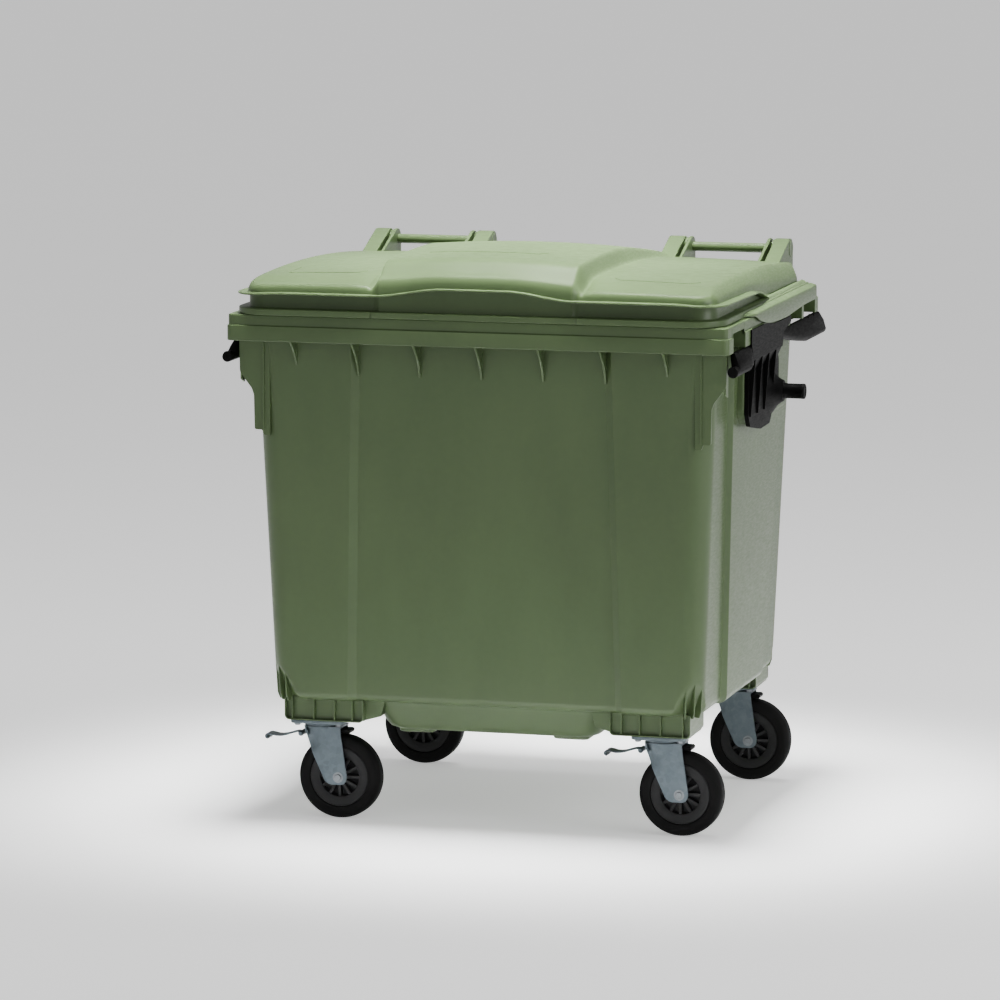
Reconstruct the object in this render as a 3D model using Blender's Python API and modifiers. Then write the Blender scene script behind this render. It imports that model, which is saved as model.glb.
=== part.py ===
"""Four-wheel waste container with a hinged flat lid, about 1100 litres.

Metres, +Z up, +X to the container's right, -Y to its front. The origin is on the floor
under the middle of the container. Every solid piece is one object.
"""
import math

import bmesh
import bpy
from mathutils import Matrix, Vector

COLLECTION = "wheeled_waste_container"

# ---- driving dimensions -------------------------------------------------------------
GAP = 0.0003                       # clearance between touching pieces

RIM_HALF_X = 0.6196                # upper step of the rim
RIM_FRONT, RIM_BACK = -0.5184, 0.4918
RIM_TOP = 1.2544
RIM_STEP_Z = 1.2283                # where the lower, prouder step of the rim begins
RIM_STEP = 0.0035
RIM_BOTTOM = 1.1905
RIM_RADIUS = 0.012
RIM_THICKNESS = 0.006

TUB_TOP, TUB_BOTTOM = 1.2300, 0.3000
TUB_HALF_X_TOP, TUB_HALF_X_BOTTOM = 0.5760, 0.5380
TUB_FRONT_TOP, TUB_FRONT_BOTTOM = -0.4700, -0.4380
TUB_BACK_TOP, TUB_BACK_BOTTOM = 0.4400, 0.4080
TUB_RADIUS = 0.055
TUB_WALL = 0.006

PANEL_DEPTH = 0.0135               # recess of the middle panel, front and back
PANEL_SLOPE = 0.0186
PANEL_HALF_TOP, PANEL_HALF_BOTTOM = 0.3225, 0.3450
SIDE_PROUD = 0.0140                # the side walls' middle panels stand out
SIDE_PANEL_Y = (-0.295, 0.270)
SIDE_PANEL_LEAN = 0.090            # how much the panel narrows per metre going down

SUMP_BOTTOM = 0.2280
SUMP_HALF_X, SUMP_HALF_Y = 0.300, 0.372

RIB_COUNT, RIB_PITCH = 7, 0.154
RIB_BOTTOM = 1.1070
RIB_THICKNESS = 0.005

CASTER_X = 0.4303
CASTER_Y = (-0.3645, 0.3810)
CASTER_TRAIL = 0.0484
WHEEL_RADIUS, WHEEL_WIDTH = 0.1040, 0.0500
AXLE_Z = WHEEL_RADIUS
HUB_RADIUS = 0.0735
BLOCK_BOTTOM = 0.2470
BLOCK_X = (0.3100, 0.5110)
BLOCK_DEPTH = 0.1420
PLATE_SIZE = (0.1350, 0.1100, 0.0080)

HINGE_Y, HINGE_Z = 0.5105, 1.3435
HINGE_RADIUS = 0.0260
HINGE_BAR_RADIUS = 0.0120
LID_ARMS = ((0.2326, 0.2734), (0.5070, 0.5457))
LID_PLATES = ((0.2820, 0.2984), (0.4822, 0.4986))
LUG_X = ((0.2744, 0.2810), (0.4996, 0.5060))
BAR_X = (0.2400, 0.5390)

LID_HALF_X = 0.5850                # outline of the lid's crown
LID_FRONT, LID_BACK = -0.5120, 0.4640
LID_RADIUS = 0.060
LID_SEAT = RIM_TOP + 0.0010
LID_FLANGE_Z = 1.3100
LID_TOP = 1.3570
LID_WALL = 0.0045
HUMP_HEIGHT = 0.0469
HUMP_HALF_TOP, HUMP_HALF_BASE = 0.2350, 0.2620
APRON_EDGE = ((-0.3000, 1.2558), (-0.2600, 1.2530), (-0.2200, 1.2430), (-0.1800, 1.2340),
              (-0.1200, 1.2260), (0.0000, 1.2185), (0.1000, 1.2170), (0.2000, 1.2205),
              (0.3000, 1.2260), (0.4400, 1.2268))

TRUNNION_Y, TRUNNION_Z = 0.0500, 1.0400
TRUNNION_RADIUS = 0.0190
TRUNNION_TIP = 0.6856

HANDLE_X, HANDLE_Z = 0.6285, 1.1470
HANDLE_RADIUS = 0.0126
HANDLE_Y = (-0.4970, 0.4970)
SKIRT_NOTCHES = ((-0.456, -0.300), (-0.275, -0.140), (0.170, 0.309), (0.332, 0.462))

DRAIN_Y, DRAIN_RADIUS = 0.0500, 0.0300


# ---- materials ----------------------------------------------------------------------
def make_material(name, colour, roughness, metallic):
    material = bpy.data.materials.new(name)
    material.use_nodes = True
    shader = material.node_tree.nodes["Principled BSDF"]
    shader.inputs["Base Color"].default_value = (*colour, 1.0)
    shader.inputs["Roughness"].default_value = roughness
    shader.inputs["Metallic"].default_value = metallic
    material.diffuse_color = (*colour, 1.0)
    return material


# ---- small tools --------------------------------------------------------------------
def clear_scene():
    for old in list(bpy.data.objects):
        bpy.data.objects.remove(old, do_unlink=True)


def new_collection(name):
    collection = bpy.data.collections.new(name)
    bpy.context.scene.collection.children.link(collection)
    return collection


def object_from_bmesh(bm, name, collection):
    bmesh.ops.recalc_face_normals(bm, faces=bm.faces)
    mesh = bpy.data.meshes.new(name)
    bm.to_mesh(mesh)
    bm.free()
    built = bpy.data.objects.new(name, mesh)
    collection.objects.link(built)
    return built


def finish(built, material, sharp_degrees=35):
    built.data.materials.clear()
    built.data.materials.append(material)
    built.data.shade_smooth()
    built.data.set_sharp_from_angle(angle=math.radians(sharp_degrees))
    return built


def loft(rings, name, collection, cap_start=True, cap_end=True):
    """Joins closed rings of equal point count into one skin."""
    bm = bmesh.new()
    rows = [[bm.verts.new(point) for point in ring] for ring in rings]
    for lower, upper in zip(rows, rows[1:]):
        for i in range(len(lower)):
            j = (i + 1) % len(lower)
            bm.faces.new((lower[i], lower[j], upper[j], upper[i]))
    if cap_start:
        bm.faces.new(list(reversed(rows[0])))
    if cap_end:
        bm.faces.new(rows[-1])
    return object_from_bmesh(bm, name, collection)


def ring_sweep(rings, name, collection):
    """Joins closed rings into a tube that bites its own tail."""
    return loft(list(rings) + [rings[0]], name, collection, False, False)


def box(name, collection, low, high):
    bm = bmesh.new()
    bmesh.ops.create_cube(bm, size=1.0)
    size = [b - a for a, b in zip(low, high)]
    centre = [(a + b) / 2 for a, b in zip(low, high)]
    bmesh.ops.scale(bm, vec=size, verts=bm.verts)
    bmesh.ops.translate(bm, vec=centre, verts=bm.verts)
    return object_from_bmesh(bm, name, collection)


def cylinder(name, collection, start, end, radius, segments=20, radius_end=None):
    start, end = Vector(start), Vector(end)
    axis = end - start
    turn = axis.to_track_quat("Z", "Y").to_matrix().to_4x4()
    bm = bmesh.new()
    bmesh.ops.create_cone(bm, cap_ends=True, segments=segments, radius1=radius,
                          radius2=radius if radius_end is None else radius_end,
                          depth=axis.length,
                          matrix=Matrix.Translation((start + end) / 2) @ turn)
    return object_from_bmesh(bm, name, collection)


def prism(name, collection, outline, axis, low, high):
    """Extrudes a flat outline along X, Y or Z between two heights."""
    curve = bpy.data.curves.new(name, "CURVE")
    curve.dimensions = "2D"
    curve.fill_mode = "BOTH"
    curve.extrude = (high - low) / 2
    spline = curve.splines.new("POLY")
    spline.points.add(len(outline) - 1)
    for point, (u, v) in zip(spline.points, outline):
        point.co = (u, v, 0.0, 1.0)
    spline.use_cyclic_u = True
    flat = bpy.data.objects.new(name + "_curve", curve)
    collection.objects.link(flat)
    bpy.context.view_layer.update()
    evaluated = flat.evaluated_get(bpy.context.evaluated_depsgraph_get())
    mesh = bpy.data.meshes.new_from_object(evaluated)
    bpy.data.objects.remove(flat, do_unlink=True)
    frames = {"X": ((0, 1, 0), (0, 0, 1), (1, 0, 0)), "Y": ((1, 0, 0), (0, 0, 1), (0, 1, 0)),
              "Z": ((1, 0, 0), (0, 1, 0), (0, 0, 1))}
    u_axis, v_axis, w_axis = (Vector(a) for a in frames[axis])
    place = Matrix((u_axis, v_axis, w_axis)).transposed().to_4x4()
    place.translation = w_axis * (low + high) / 2
    bm = bmesh.new()
    bm.from_mesh(mesh)
    bpy.data.meshes.remove(mesh)
    bmesh.ops.remove_doubles(bm, verts=bm.verts, dist=0.00001)
    bmesh.ops.transform(bm, matrix=place, verts=bm.verts)
    return object_from_bmesh(bm, name, collection)


def turned(name, collection, profile, steps, place):
    """Spins a closed profile of (radius, height) about Z, then places it."""
    bm = bmesh.new()
    corners = [bm.verts.new((radius, 0.0, height)) for radius, height in profile]
    for i, corner in enumerate(corners):
        following = corners[(i + 1) % len(corners)]
        if corner.co.x > 1e-6 or following.co.x > 1e-6:
            bm.edges.new((corner, following))
    mesh = bpy.data.meshes.new(name)
    bm.to_mesh(mesh)
    bm.free()
    built = bpy.data.objects.new(name, mesh)
    collection.objects.link(built)
    screw = built.modifiers.new("turn", "SCREW")
    screw.axis = "Z"
    screw.steps = steps
    screw.render_steps = steps
    screw.use_merge_vertices = True
    screw.merge_threshold = 0.0001
    screw.use_normal_calculate = True
    bake(built)
    bm = bmesh.new()
    bm.from_mesh(built.data)
    bmesh.ops.remove_doubles(bm, verts=bm.verts, dist=0.00001)
    bmesh.ops.recalc_face_normals(bm, faces=bm.faces)
    bmesh.ops.transform(bm, matrix=place, verts=bm.verts)
    bm.to_mesh(built.data)
    bm.free()
    return built


def bake(built):
    """Applies an object's modifiers."""
    bpy.context.view_layer.update()
    evaluated = built.evaluated_get(bpy.context.evaluated_depsgraph_get())
    mesh = bpy.data.meshes.new_from_object(evaluated)
    old = built.data
    built.modifiers.clear()
    built.data = mesh
    bpy.data.meshes.remove(old)
    return built


def combine(target, tool, operation):
    """Joins or cuts target with tool, and removes the tool."""
    modifier = target.modifiers.new(operation.lower(), "BOOLEAN")
    modifier.operation = operation
    modifier.object = tool
    modifier.solver = "EXACT"
    bake(target)
    bpy.data.objects.remove(tool, do_unlink=True)
    return target


def join(target, tool):
    return combine(target, tool, "UNION")


def cut(target, tool):
    return combine(target, tool, "DIFFERENCE")


def gather(pieces, name, collection):
    """Puts separate solids into one mesh, to be used as a single tool."""
    bm = bmesh.new()
    for piece in pieces:
        bm.from_mesh(piece.data)
        bpy.data.objects.remove(piece, do_unlink=True)
    return object_from_bmesh(bm, name, collection)


def set_origin(built, point):
    """Moves an object's origin without moving its shape."""
    offset = Vector(point)
    built.data.transform(Matrix.Translation(-offset))
    built.location = offset


def arc(centre, radius, start_degrees, end_degrees, count):
    points = []
    for i in range(count + 1):
        angle = math.radians(start_degrees + (end_degrees - start_degrees) * i / count)
        points.append((centre[0] + radius * math.cos(angle),
                       centre[1] + radius * math.sin(angle)))
    return points


def rounded_rectangle(half_x, front, back, radius, z, segments=3):
    """Anticlockwise outline of a rounded rectangle at one height."""
    corners = ((half_x - radius, back - radius, 0), (-half_x + radius, back - radius, 90),
               (-half_x + radius, front + radius, 180), (half_x - radius, front + radius, 270))
    outline = []
    for x, y, start in corners:
        outline += arc((x, y), radius, start, start + 90, segments)
    return [(x, y, z) for x, y in outline]


def blend(low, high, share):
    return low + (high - low) * share


def smooth_step(low, high, value):
    share = min(1.0, max(0.0, (value - low) / (high - low)))
    return share * share * (3.0 - 2.0 * share)


# ---- container body -----------------------------------------------------------------
def tub_outline(z, corner_radius, inset=0.0):
    """Outline of the tapering tub at one height, with its middle panels."""
    share = (z - TUB_BOTTOM) / (TUB_TOP - TUB_BOTTOM)
    half_x = blend(TUB_HALF_X_BOTTOM, TUB_HALF_X_TOP, share) - inset
    front = blend(TUB_FRONT_BOTTOM, TUB_FRONT_TOP, share) + inset
    back = blend(TUB_BACK_BOTTOM, TUB_BACK_TOP, share) - inset
    panel = blend(PANEL_HALF_BOTTOM, PANEL_HALF_TOP, share)
    lean = SIDE_PANEL_LEAN * (TUB_TOP - z)
    side_low, side_high = SIDE_PANEL_Y[0] + lean, SIDE_PANEL_Y[1] - lean
    edge = PANEL_SLOPE
    lip = 0.004
    corners = [(x, y) for x, y, _ in rounded_rectangle(half_x, front, back, corner_radius, z)]
    count = len(corners) // 4
    outline = corners[:count]
    outline += [(panel, back), (panel - edge, back - PANEL_DEPTH),
                (edge - panel, back - PANEL_DEPTH), (-panel, back)]
    outline += corners[count:2 * count]
    outline += [(-half_x, side_high), (-half_x - SIDE_PROUD, side_high - lip),
                (-half_x - SIDE_PROUD, side_low + lip), (-half_x, side_low)]
    outline += corners[2 * count:3 * count]
    outline += [(-panel, front), (edge - panel, front + PANEL_DEPTH),
                (panel - edge, front + PANEL_DEPTH), (panel, front)]
    outline += corners[3 * count:]
    outline += [(half_x, side_low), (half_x + SIDE_PROUD, side_low + lip),
                (half_x + SIDE_PROUD, side_high - lip), (half_x, side_high)]
    return [(x, y, z) for x, y in outline]


def tub_shell(collection):
    """The tub: walls and floor as one open sheet, then thickened inwards."""
    levels = ((RIM_TOP - 0.003, TUB_RADIUS, 0.0), (0.800, TUB_RADIUS, 0.0),
              (0.385, TUB_RADIUS, 0.0), (0.340, 0.075, 0.0), (0.310, 0.095, 0.001),
              (0.298, 0.095, 0.006), (0.292, 0.095, 0.015))
    rings = [tub_outline(z, radius, inset) for z, radius, inset in levels]
    shell = loft(rings, "bin_body", collection, cap_start=False, cap_end=True)
    thicken(shell, TUB_WALL)
    return shell


def thicken(shell, wall):
    """Gives an open sheet a wall on the inside of its outer skin."""
    modifier = shell.modifiers.new("wall", "SOLIDIFY")
    modifier.thickness = wall
    modifier.offset = -1.0
    modifier.use_even_offset = True
    return bake(shell)


def rim_ring(collection):
    """Downturned rim around the tub's mouth, with a two-step skirt."""
    inner = (0.5640, -0.4480, 0.4180, 0.050)
    profile = ((0.0, RIM_TOP), (0.0, RIM_STEP_Z), (RIM_STEP, RIM_STEP_Z - 0.0015),
               (RIM_STEP, RIM_BOTTOM), (RIM_STEP - RIM_THICKNESS, RIM_BOTTOM),
               (RIM_STEP - RIM_THICKNESS, RIM_STEP_Z - 0.006),
               (-RIM_THICKNESS, RIM_STEP_Z), (-RIM_THICKNESS, RIM_TOP - RIM_THICKNESS))
    rings = []
    for offset, z in profile:
        rings.append(rounded_rectangle(RIM_HALF_X + offset, RIM_FRONT - offset,
                                       RIM_BACK + offset, RIM_RADIUS + offset, z))
    half_x, front, back, radius = inner
    rings.append(rounded_rectangle(half_x, front, back, radius, RIM_TOP - RIM_THICKNESS))
    rings.append(rounded_rectangle(half_x, front, back, radius, RIM_TOP))
    return ring_sweep(rings, "rim", collection)


def rib_outline(side):
    """Triangular gusset between the rim and a wall; side is -1 in front, 1 behind."""
    if side < 0:
        rim, wall = RIM_FRONT - 0.0020, TUB_FRONT_TOP
    else:
        rim, wall = RIM_BACK + 0.0020, TUB_BACK_TOP
    inside = wall - side * 0.0165
    tip = wall - side * 0.0100
    outline = [(rim, RIM_BOTTOM + 0.001), (tip, RIB_BOTTOM), (inside, RIB_BOTTOM),
               (inside, RIM_TOP - 0.004), (rim, RIM_TOP - 0.004)]
    return outline if side > 0 else list(reversed(outline))


def corner_wing(side, collection):
    """Flat web that carries the rim past a front corner."""
    outline = [(0.5300, 1.2450), (0.5300, 0.9550), (0.5450, 0.9550), (0.5500, 0.9680),
               (0.5690, 0.9680), (0.5705, 1.0530), (0.5745, 1.0670), (0.6060, 1.1080),
               (0.6060, 1.2180), (0.6190, 1.2180), (0.6190, 1.2450)]
    outline = [(side * x, z) for x, z in outline]
    return prism("wing", collection, outline, "Y", -0.4640, -0.4580)


def caster_block(side, end, collection):
    """Block under a bottom corner that takes the caster's plate."""
    low, high = sorted((side * BLOCK_X[0], side * BLOCK_X[1]))
    y = CASTER_Y[end]
    if end == 0:
        front, back = y - 0.0645, y - 0.0645 + BLOCK_DEPTH
    else:
        front, back = y + 0.0600 - BLOCK_DEPTH, y + 0.0600
    middle = (low + high) / 2
    rings = []
    for z, inset in ((0.3050, 0.0), (BLOCK_BOTTOM + 0.010, 0.0), (BLOCK_BOTTOM, 0.008)):
        ring = rounded_rectangle((high - low) / 2 - inset, front + inset, back - inset,
                                 0.012, z, 2)
        rings.append([(x + middle, v, w) for x, v, w in ring])
    return loft(rings, "block", collection)


def sump(collection):
    """Lowered middle of the floor."""
    shape = ((0.3060, 0.300, -0.398, 0.378), (0.2960, 0.298, -0.396, 0.376),
             (0.2400, 0.268, -0.375, 0.355), (SUMP_BOTTOM, 0.252, -0.363, 0.343))
    rings = [rounded_rectangle(half_x, front, back, 0.045, z) for z, half_x, front, back
             in shape]
    shell = loft(rings, "sump", collection, cap_start=False, cap_end=True)
    return thicken(shell, TUB_WALL)


def sump_mouth(collection):
    rings = [rounded_rectangle(0.2895, -0.3875, 0.3675, 0.040, z) for z in (0.2880, 0.3150)]
    return loft(rings, "sump_mouth", collection)


def bar_lug(x_low, x_high, collection):
    """Ear on the back of the rim that holds a hinge bar."""
    outline = [(RIM_BACK - 0.004, RIM_BOTTOM + 0.004), (HINGE_Y + 0.010, RIM_BOTTOM + 0.004)]
    outline += arc((HINGE_Y, HINGE_Z), 0.0225, -5, 185, 10)
    outline += [(HINGE_Y - 0.0225, RIM_TOP + 0.003), (RIM_BACK - 0.004, RIM_TOP - 0.003)]
    return prism("lug", collection, outline, "X", x_low, x_high)


def bin_body(collection, cutters, material):
    body = tub_shell(collection)
    join(body, rim_ring(collection))
    for side in (-1, 1):
        for i in range(RIB_COUNT):
            x = (i - (RIB_COUNT - 1) / 2) * RIB_PITCH
            half = RIB_THICKNESS / 2
            join(body, prism("rib", collection, rib_outline(side), "X", x - half, x + half))
    for side in (-1, 1):
        join(body, corner_wing(side, collection))
        pad_low, pad_high = sorted((side * 0.580, side * 0.6000))
        pad = [(-0.2600, 1.2200), (-0.2600, 1.0200), (-0.2330, 0.9850), (0.2100, 0.9850),
               (0.2400, 1.0200), (0.2400, 1.2200)]
        join(body, prism("pad", collection, pad, "X", pad_low, pad_high))
        for end in (0, 1):
            join(body, caster_block(side, end, collection))
        skid_low, skid_high = sorted((side * 0.150, side * 0.240))
        join(body, box("skid", collection, (skid_low, -0.350, 0.2180),
                       (skid_high, -0.290, SUMP_BOTTOM + 0.002)))
    join(body, sump(collection))
    cut(body, sump_mouth(cutters))
    cut(body, cylinder("drain_hole", cutters, (0, DRAIN_Y, 0.2), (0, DRAIN_Y, 0.26),
                       DRAIN_RADIUS))
    for side in (-1, 1):
        for low, high in SKIRT_NOTCHES:
            start, end = sorted((side * 0.6140, side * 0.6300))
            cut(body, box("notch", cutters, (start, low, 1.1800), (end, high, 1.2170)))
        for low, high in LUG_X:
            start, end = sorted((side * low, side * high))
            join(body, bar_lug(start, end, collection))
        cut(body, cylinder("bar_bore", cutters, (side * 0.24, HINGE_Y, HINGE_Z),
                           (side * 0.54, HINGE_Y, HINGE_Z), HINGE_BAR_RADIUS + GAP, 16))
    return finish(body, material)


# ---- lid ----------------------------------------------------------------------------
def lid_height(x, y):
    """Height of the lid's crown away from its edges."""
    crown = LID_TOP - 0.080 * (y + 0.19) ** 2 - 0.030 * x * x
    hump = HUMP_HEIGHT - 0.148 * x * x - 0.060 * max(0.0, y + 0.060)
    rise = 1.0 - smooth_step(HUMP_HALF_TOP, HUMP_HALF_BASE, abs(x))
    return crown + hump * rise


def flange_height(x, y):
    """Height of the lid's edge flange, arched over the middle of the front."""
    arch = 0.020 * (1.0 - smooth_step(0.080, 0.250, abs(x)))
    front = 1.0 - smooth_step(-0.400, -0.300, y)
    return LID_FLANGE_Z + arch * front


def edge_distance(x, y):
    """How far a point lies inside the crown's rounded outline."""
    middle = (LID_FRONT + LID_BACK) / 2
    half_y = (LID_BACK - LID_FRONT) / 2
    dx = abs(x) - (LID_HALF_X - LID_RADIUS)
    dy = abs(y - middle) - (half_y - LID_RADIUS)
    outside = math.hypot(max(dx, 0.0), max(dy, 0.0)) + min(max(dx, dy), 0.0)
    return LID_RADIUS - outside


def handle_share(y):
    """1 where the lid's edge is a full handle flange, 0 where it lies down."""
    return 1.0 - smooth_step(-0.140, 0.160, y)


def crown_base(x, y):
    """Height where the crown meets the lid's edge."""
    low = LID_SEAT + 0.0230
    return blend(low, flange_height(x, y) + 0.0010, handle_share(y))


def crown_point(u, v, inset=0.0):
    """Maps a square grid onto the crown's rounded plan and lifts it.

    An inset gives the inner skin, one wall lower.
    """
    middle = (LID_FRONT + LID_BACK) / 2
    half_y = (LID_BACK - LID_FRONT) / 2
    radius = LID_RADIUS - inset
    s = (abs(u) - (LID_HALF_X - LID_RADIUS)) / radius
    t = (abs(v) - (half_y - LID_RADIUS)) / radius
    x, y = u, v
    if s > 0 and t > 0:
        x = LID_HALF_X - LID_RADIUS + radius * s * math.sqrt(1 - t * t / 2)
        y = half_y - LID_RADIUS + radius * t * math.sqrt(1 - s * s / 2)
        x = math.copysign(x, u)
        y = math.copysign(y, v)
    y += middle
    inside = max(0.0, edge_distance(x, y) - inset)
    base = crown_base(x, y)
    steep = 0.62 * smooth_step(0.0, 0.020, inside)
    gentle = 0.38 * smooth_step(0.010, 0.070, inside)
    wall = LID_WALL if inset else 0.0
    return Vector((x, y, base + (lid_height(x, y) - base) * (steep + gentle) - wall))


def edge_profile(x, y, outward):
    """Points of the lid's edge below the crown, from the flange down to the seat."""
    handle = handle_share(y)
    base = crown_base(x, y)
    reach = blend(0.0080, 0.0245, handle)
    lip = 0.0110
    tuck = blend(0.0070, -0.0040, handle)
    tip = blend(LID_SEAT + 0.0210, base, handle)
    under = blend(LID_SEAT + 0.0180, base - 0.0045, handle)
    low = LID_SEAT + 0.0160
    steps = ((reach, tip), (reach, under), (tuck, under - 0.0010), (tuck, low),
             (lip, low - 0.0020), (lip, LID_SEAT))
    return [Vector((x, y, 0)) + outward * distance + Vector((0, 0, z)) for distance, z in steps]


def lid_grid(bm, inset):
    """Grid of the crown's skin; its edge rows crowd into the rounded border."""
    half_y = (LID_BACK - LID_FRONT) / 2
    border = [share * (LID_RADIUS - inset) for share in (0.0, 0.5, 0.8, 1.0)]
    half_columns = [0.0, 0.10, 0.18, 0.235, 0.2485, 0.262, 0.36, 0.45]
    half_columns += [LID_HALF_X - LID_RADIUS + step for step in border]
    columns = [-u for u in reversed(half_columns[1:])] + half_columns
    ends = [half_y - LID_RADIUS + step for step in border]
    rows = [-v for v in reversed(ends)] + [-0.36, -0.20, -0.04, 0.12, 0.27, 0.35] + ends
    return [[bm.verts.new(crown_point(u, v, inset)) for u in columns] for v in rows]


def grid_border(verts):
    border = list(verts[0]) + [row[-1] for row in verts[1:]]
    return border + list(reversed(verts[-1][:-1])) + [row[0] for row in reversed(verts[1:-1])]


def lid_shell(collection):
    """Crown, edge flange and seat lip as one hollow cover, open below."""
    bm = bmesh.new()
    skins = (lid_grid(bm, 0.0), lid_grid(bm, 0.0090))
    for verts in skins:
        for lower, upper in zip(verts, verts[1:]):
            for i in range(len(lower) - 1):
                bm.faces.new((lower[i], lower[i + 1], upper[i + 1], upper[i]))
    outer, inner = (grid_border(verts) for verts in skins)
    count = len(outer)
    places = [corner.co.copy() for corner in outer]
    columns = []
    for i in range(count):
        along = places[(i + 1) % count] - places[i - 1]
        outward = Vector((along.y, -along.x, 0)).normalized()
        columns.append(edge_profile(places[i].x, places[i].y, outward))
    rings = [outer]
    for step in range(len(columns[0])):
        rings.append([bm.verts.new(column[step]) for column in columns])
    rings.append([bm.verts.new((corner.co.x, corner.co.y, LID_SEAT)) for corner in inner])
    rings.append(inner)
    for upper, lower in zip(rings, rings[1:]):
        for i in range(count):
            j = (i + 1) % count
            bm.faces.new((upper[i], lower[i], lower[j], upper[j]))
    bmesh.ops.triangulate(bm, faces=bm.faces)
    return object_from_bmesh(bm, "lid", collection)


def arm_outline():
    """Side view of a hinge arm: a ramp off the lid, then a round end."""
    outline = [(0.3450, 1.3060), (0.4350, 1.2850), (0.4600, 1.2690), (0.4740, 1.2640),
               (0.5250, 1.2640), (0.5365, 1.2760)]
    outline += arc((HINGE_Y, HINGE_Z), HINGE_RADIUS, 0, 90, 4)
    outline += [(0.4950, HINGE_Z + HINGE_RADIUS), (0.3450, 1.3121)]
    return outline


def side_apron(side, collection):
    """Curved flap of the lid that hangs over the rim's side."""
    rings = []
    for y, low in APRON_EDGE:
        section = ((0.5900, 1.2560), (0.6238, 1.2560), (0.6238, low), (0.6280, low),
                   (0.6280, 1.2600), (0.6240, 1.2640), (0.5900, 1.2680))
        rings.append([(side * x, y, z) for x, z in section])
    return loft(rings, "apron", collection)


def lid_arms(side, collection, cutters):
    """One hinge set's arms and plates, bored for the bar, as one tool."""
    bore_start, bore_end = side * BAR_X[0], side * BAR_X[1]
    arms = []
    for low, high in LID_ARMS + LID_PLATES:
        start, end = sorted((side * low, side * high))
        arm = prism("arm", collection, arm_outline(), "X", start, end)
        bore = cylinder("bar_bore", cutters, (bore_start, HINGE_Y, HINGE_Z),
                        (bore_end, HINGE_Y, HINGE_Z), HINGE_BAR_RADIUS + GAP, 16)
        arms.append(cut(arm, bore))
    return arms


def lid(collection, cutters, material):
    cover = lid_shell(collection)
    tools = []
    for side in (-1, 1):
        tools.append(side_apron(side, collection))
        tools += lid_arms(side, collection, cutters)
    join(cover, gather(tools, "lid_tools", collection))
    finish(cover, material)
    set_origin(cover, (0, HINGE_Y, HINGE_Z))
    return cover


def hinge_bar(side, name, collection, material):
    start, end = sorted((side * (BAR_X[0] + GAP), side * (BAR_X[1] - GAP)))
    bar = cylinder(name, collection, (start, HINGE_Y, HINGE_Z), (end, HINGE_Y, HINGE_Z),
                   HINGE_BAR_RADIUS, 16)
    return finish(bar, material)


# ---- side fittings ------------------------------------------------------------------
def trunnion_bracket(side, name, collection, cutters, material):
    """Moulded plate on a side wall that carries the lifting trunnion."""
    face = 0.6000 + GAP
    plate = [(-0.2450, 1.1760), (-0.2500, 1.0150), (-0.2350, 0.9870), (-0.1120, 0.9660),
             (-0.0120, 0.9680), (0.0200, 0.9970), (0.0850, 1.0120), (0.0850, 1.1760)]
    bracket = prism(name, collection, plate, "X", *sorted((side * face, side * 0.6100)))
    rings = []
    for x, half_y, half_z, centre_y in ((0.6070, 0.080, 0.050, 0.010),
                                        (0.6180, 0.050, 0.036, 0.035),
                                        (0.6320, 0.0255, 0.0255, TRUNNION_Y)):
        ring = []
        for i in range(20):
            angle = math.tau * i / 20
            ring.append((side * x, centre_y + half_y * math.cos(angle),
                         TRUNNION_Z + half_z * math.sin(angle)))
        rings.append(ring)
    join(bracket, loft(rings, "boss", collection))
    cut(bracket, cylinder("bore", cutters, (side * 0.6110, TRUNNION_Y, TRUNNION_Z),
                          (side * 0.6400, TRUNNION_Y, TRUNNION_Z), TRUNNION_RADIUS + GAP))
    return finish(bracket, material)


def trunnion_pin(side, name, collection, material):
    """Round stub that a lifting vehicle's arms take hold of."""
    place = Matrix.Translation((0, TRUNNION_Y, TRUNNION_Z))
    place = place @ Matrix.Rotation(side * math.pi / 2, 4, "Y")
    radius, tip, root = TRUNNION_RADIUS, TRUNNION_TIP, 0.6110 + GAP
    profile = [(0, tip), (radius - 0.002, tip), (radius, tip - 0.002), (radius, root), (0, root)]
    return finish(turned(name, collection, profile, 20, place), material)


def side_handle(side, name, collection, material):
    """Long grip under the rim's side: a hanging web with a round lower edge."""
    high, low = 1.2150, 1.1890
    stations = ((HANDLE_Y[0], 1.0, high), (-0.375, 1.0, high), (-0.350, 0.0, high),
                (0.300, 0.0, high), (0.330, 1.0, high), (0.479, 1.0, high),
                (0.480, 1.0, low), (HANDLE_Y[1], 1.0, low))
    rings = []
    for y, drop, top in stations:
        radius = blend(0.0065, HANDLE_RADIUS, drop)
        x = blend(0.6170, HANDLE_X, drop)
        z = blend(1.1780, HANDLE_Z, drop)
        section = [(0.6085, top), (0.6080, 1.1830)]
        section += arc((x, z), radius, 190, 370, 8)
        section += [(0.6150, 1.1860), (0.6130, top)]
        rings.append([(side * u, y, v) for u, v in section])
    return finish(loft(rings, name, collection), material)


# ---- drain --------------------------------------------------------------------------
def drain_seal(collection, material):
    top = SUMP_BOTTOM - GAP
    profile = [(0.0305, top), (0.0355, top), (0.0365, top - 0.0012), (0.0355, top - 0.0024),
               (0.0305, top - 0.0024)]
    place = Matrix.Translation((0, DRAIN_Y, 0))
    return finish(turned("drain_seal", collection, profile, 24, place), material)


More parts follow.
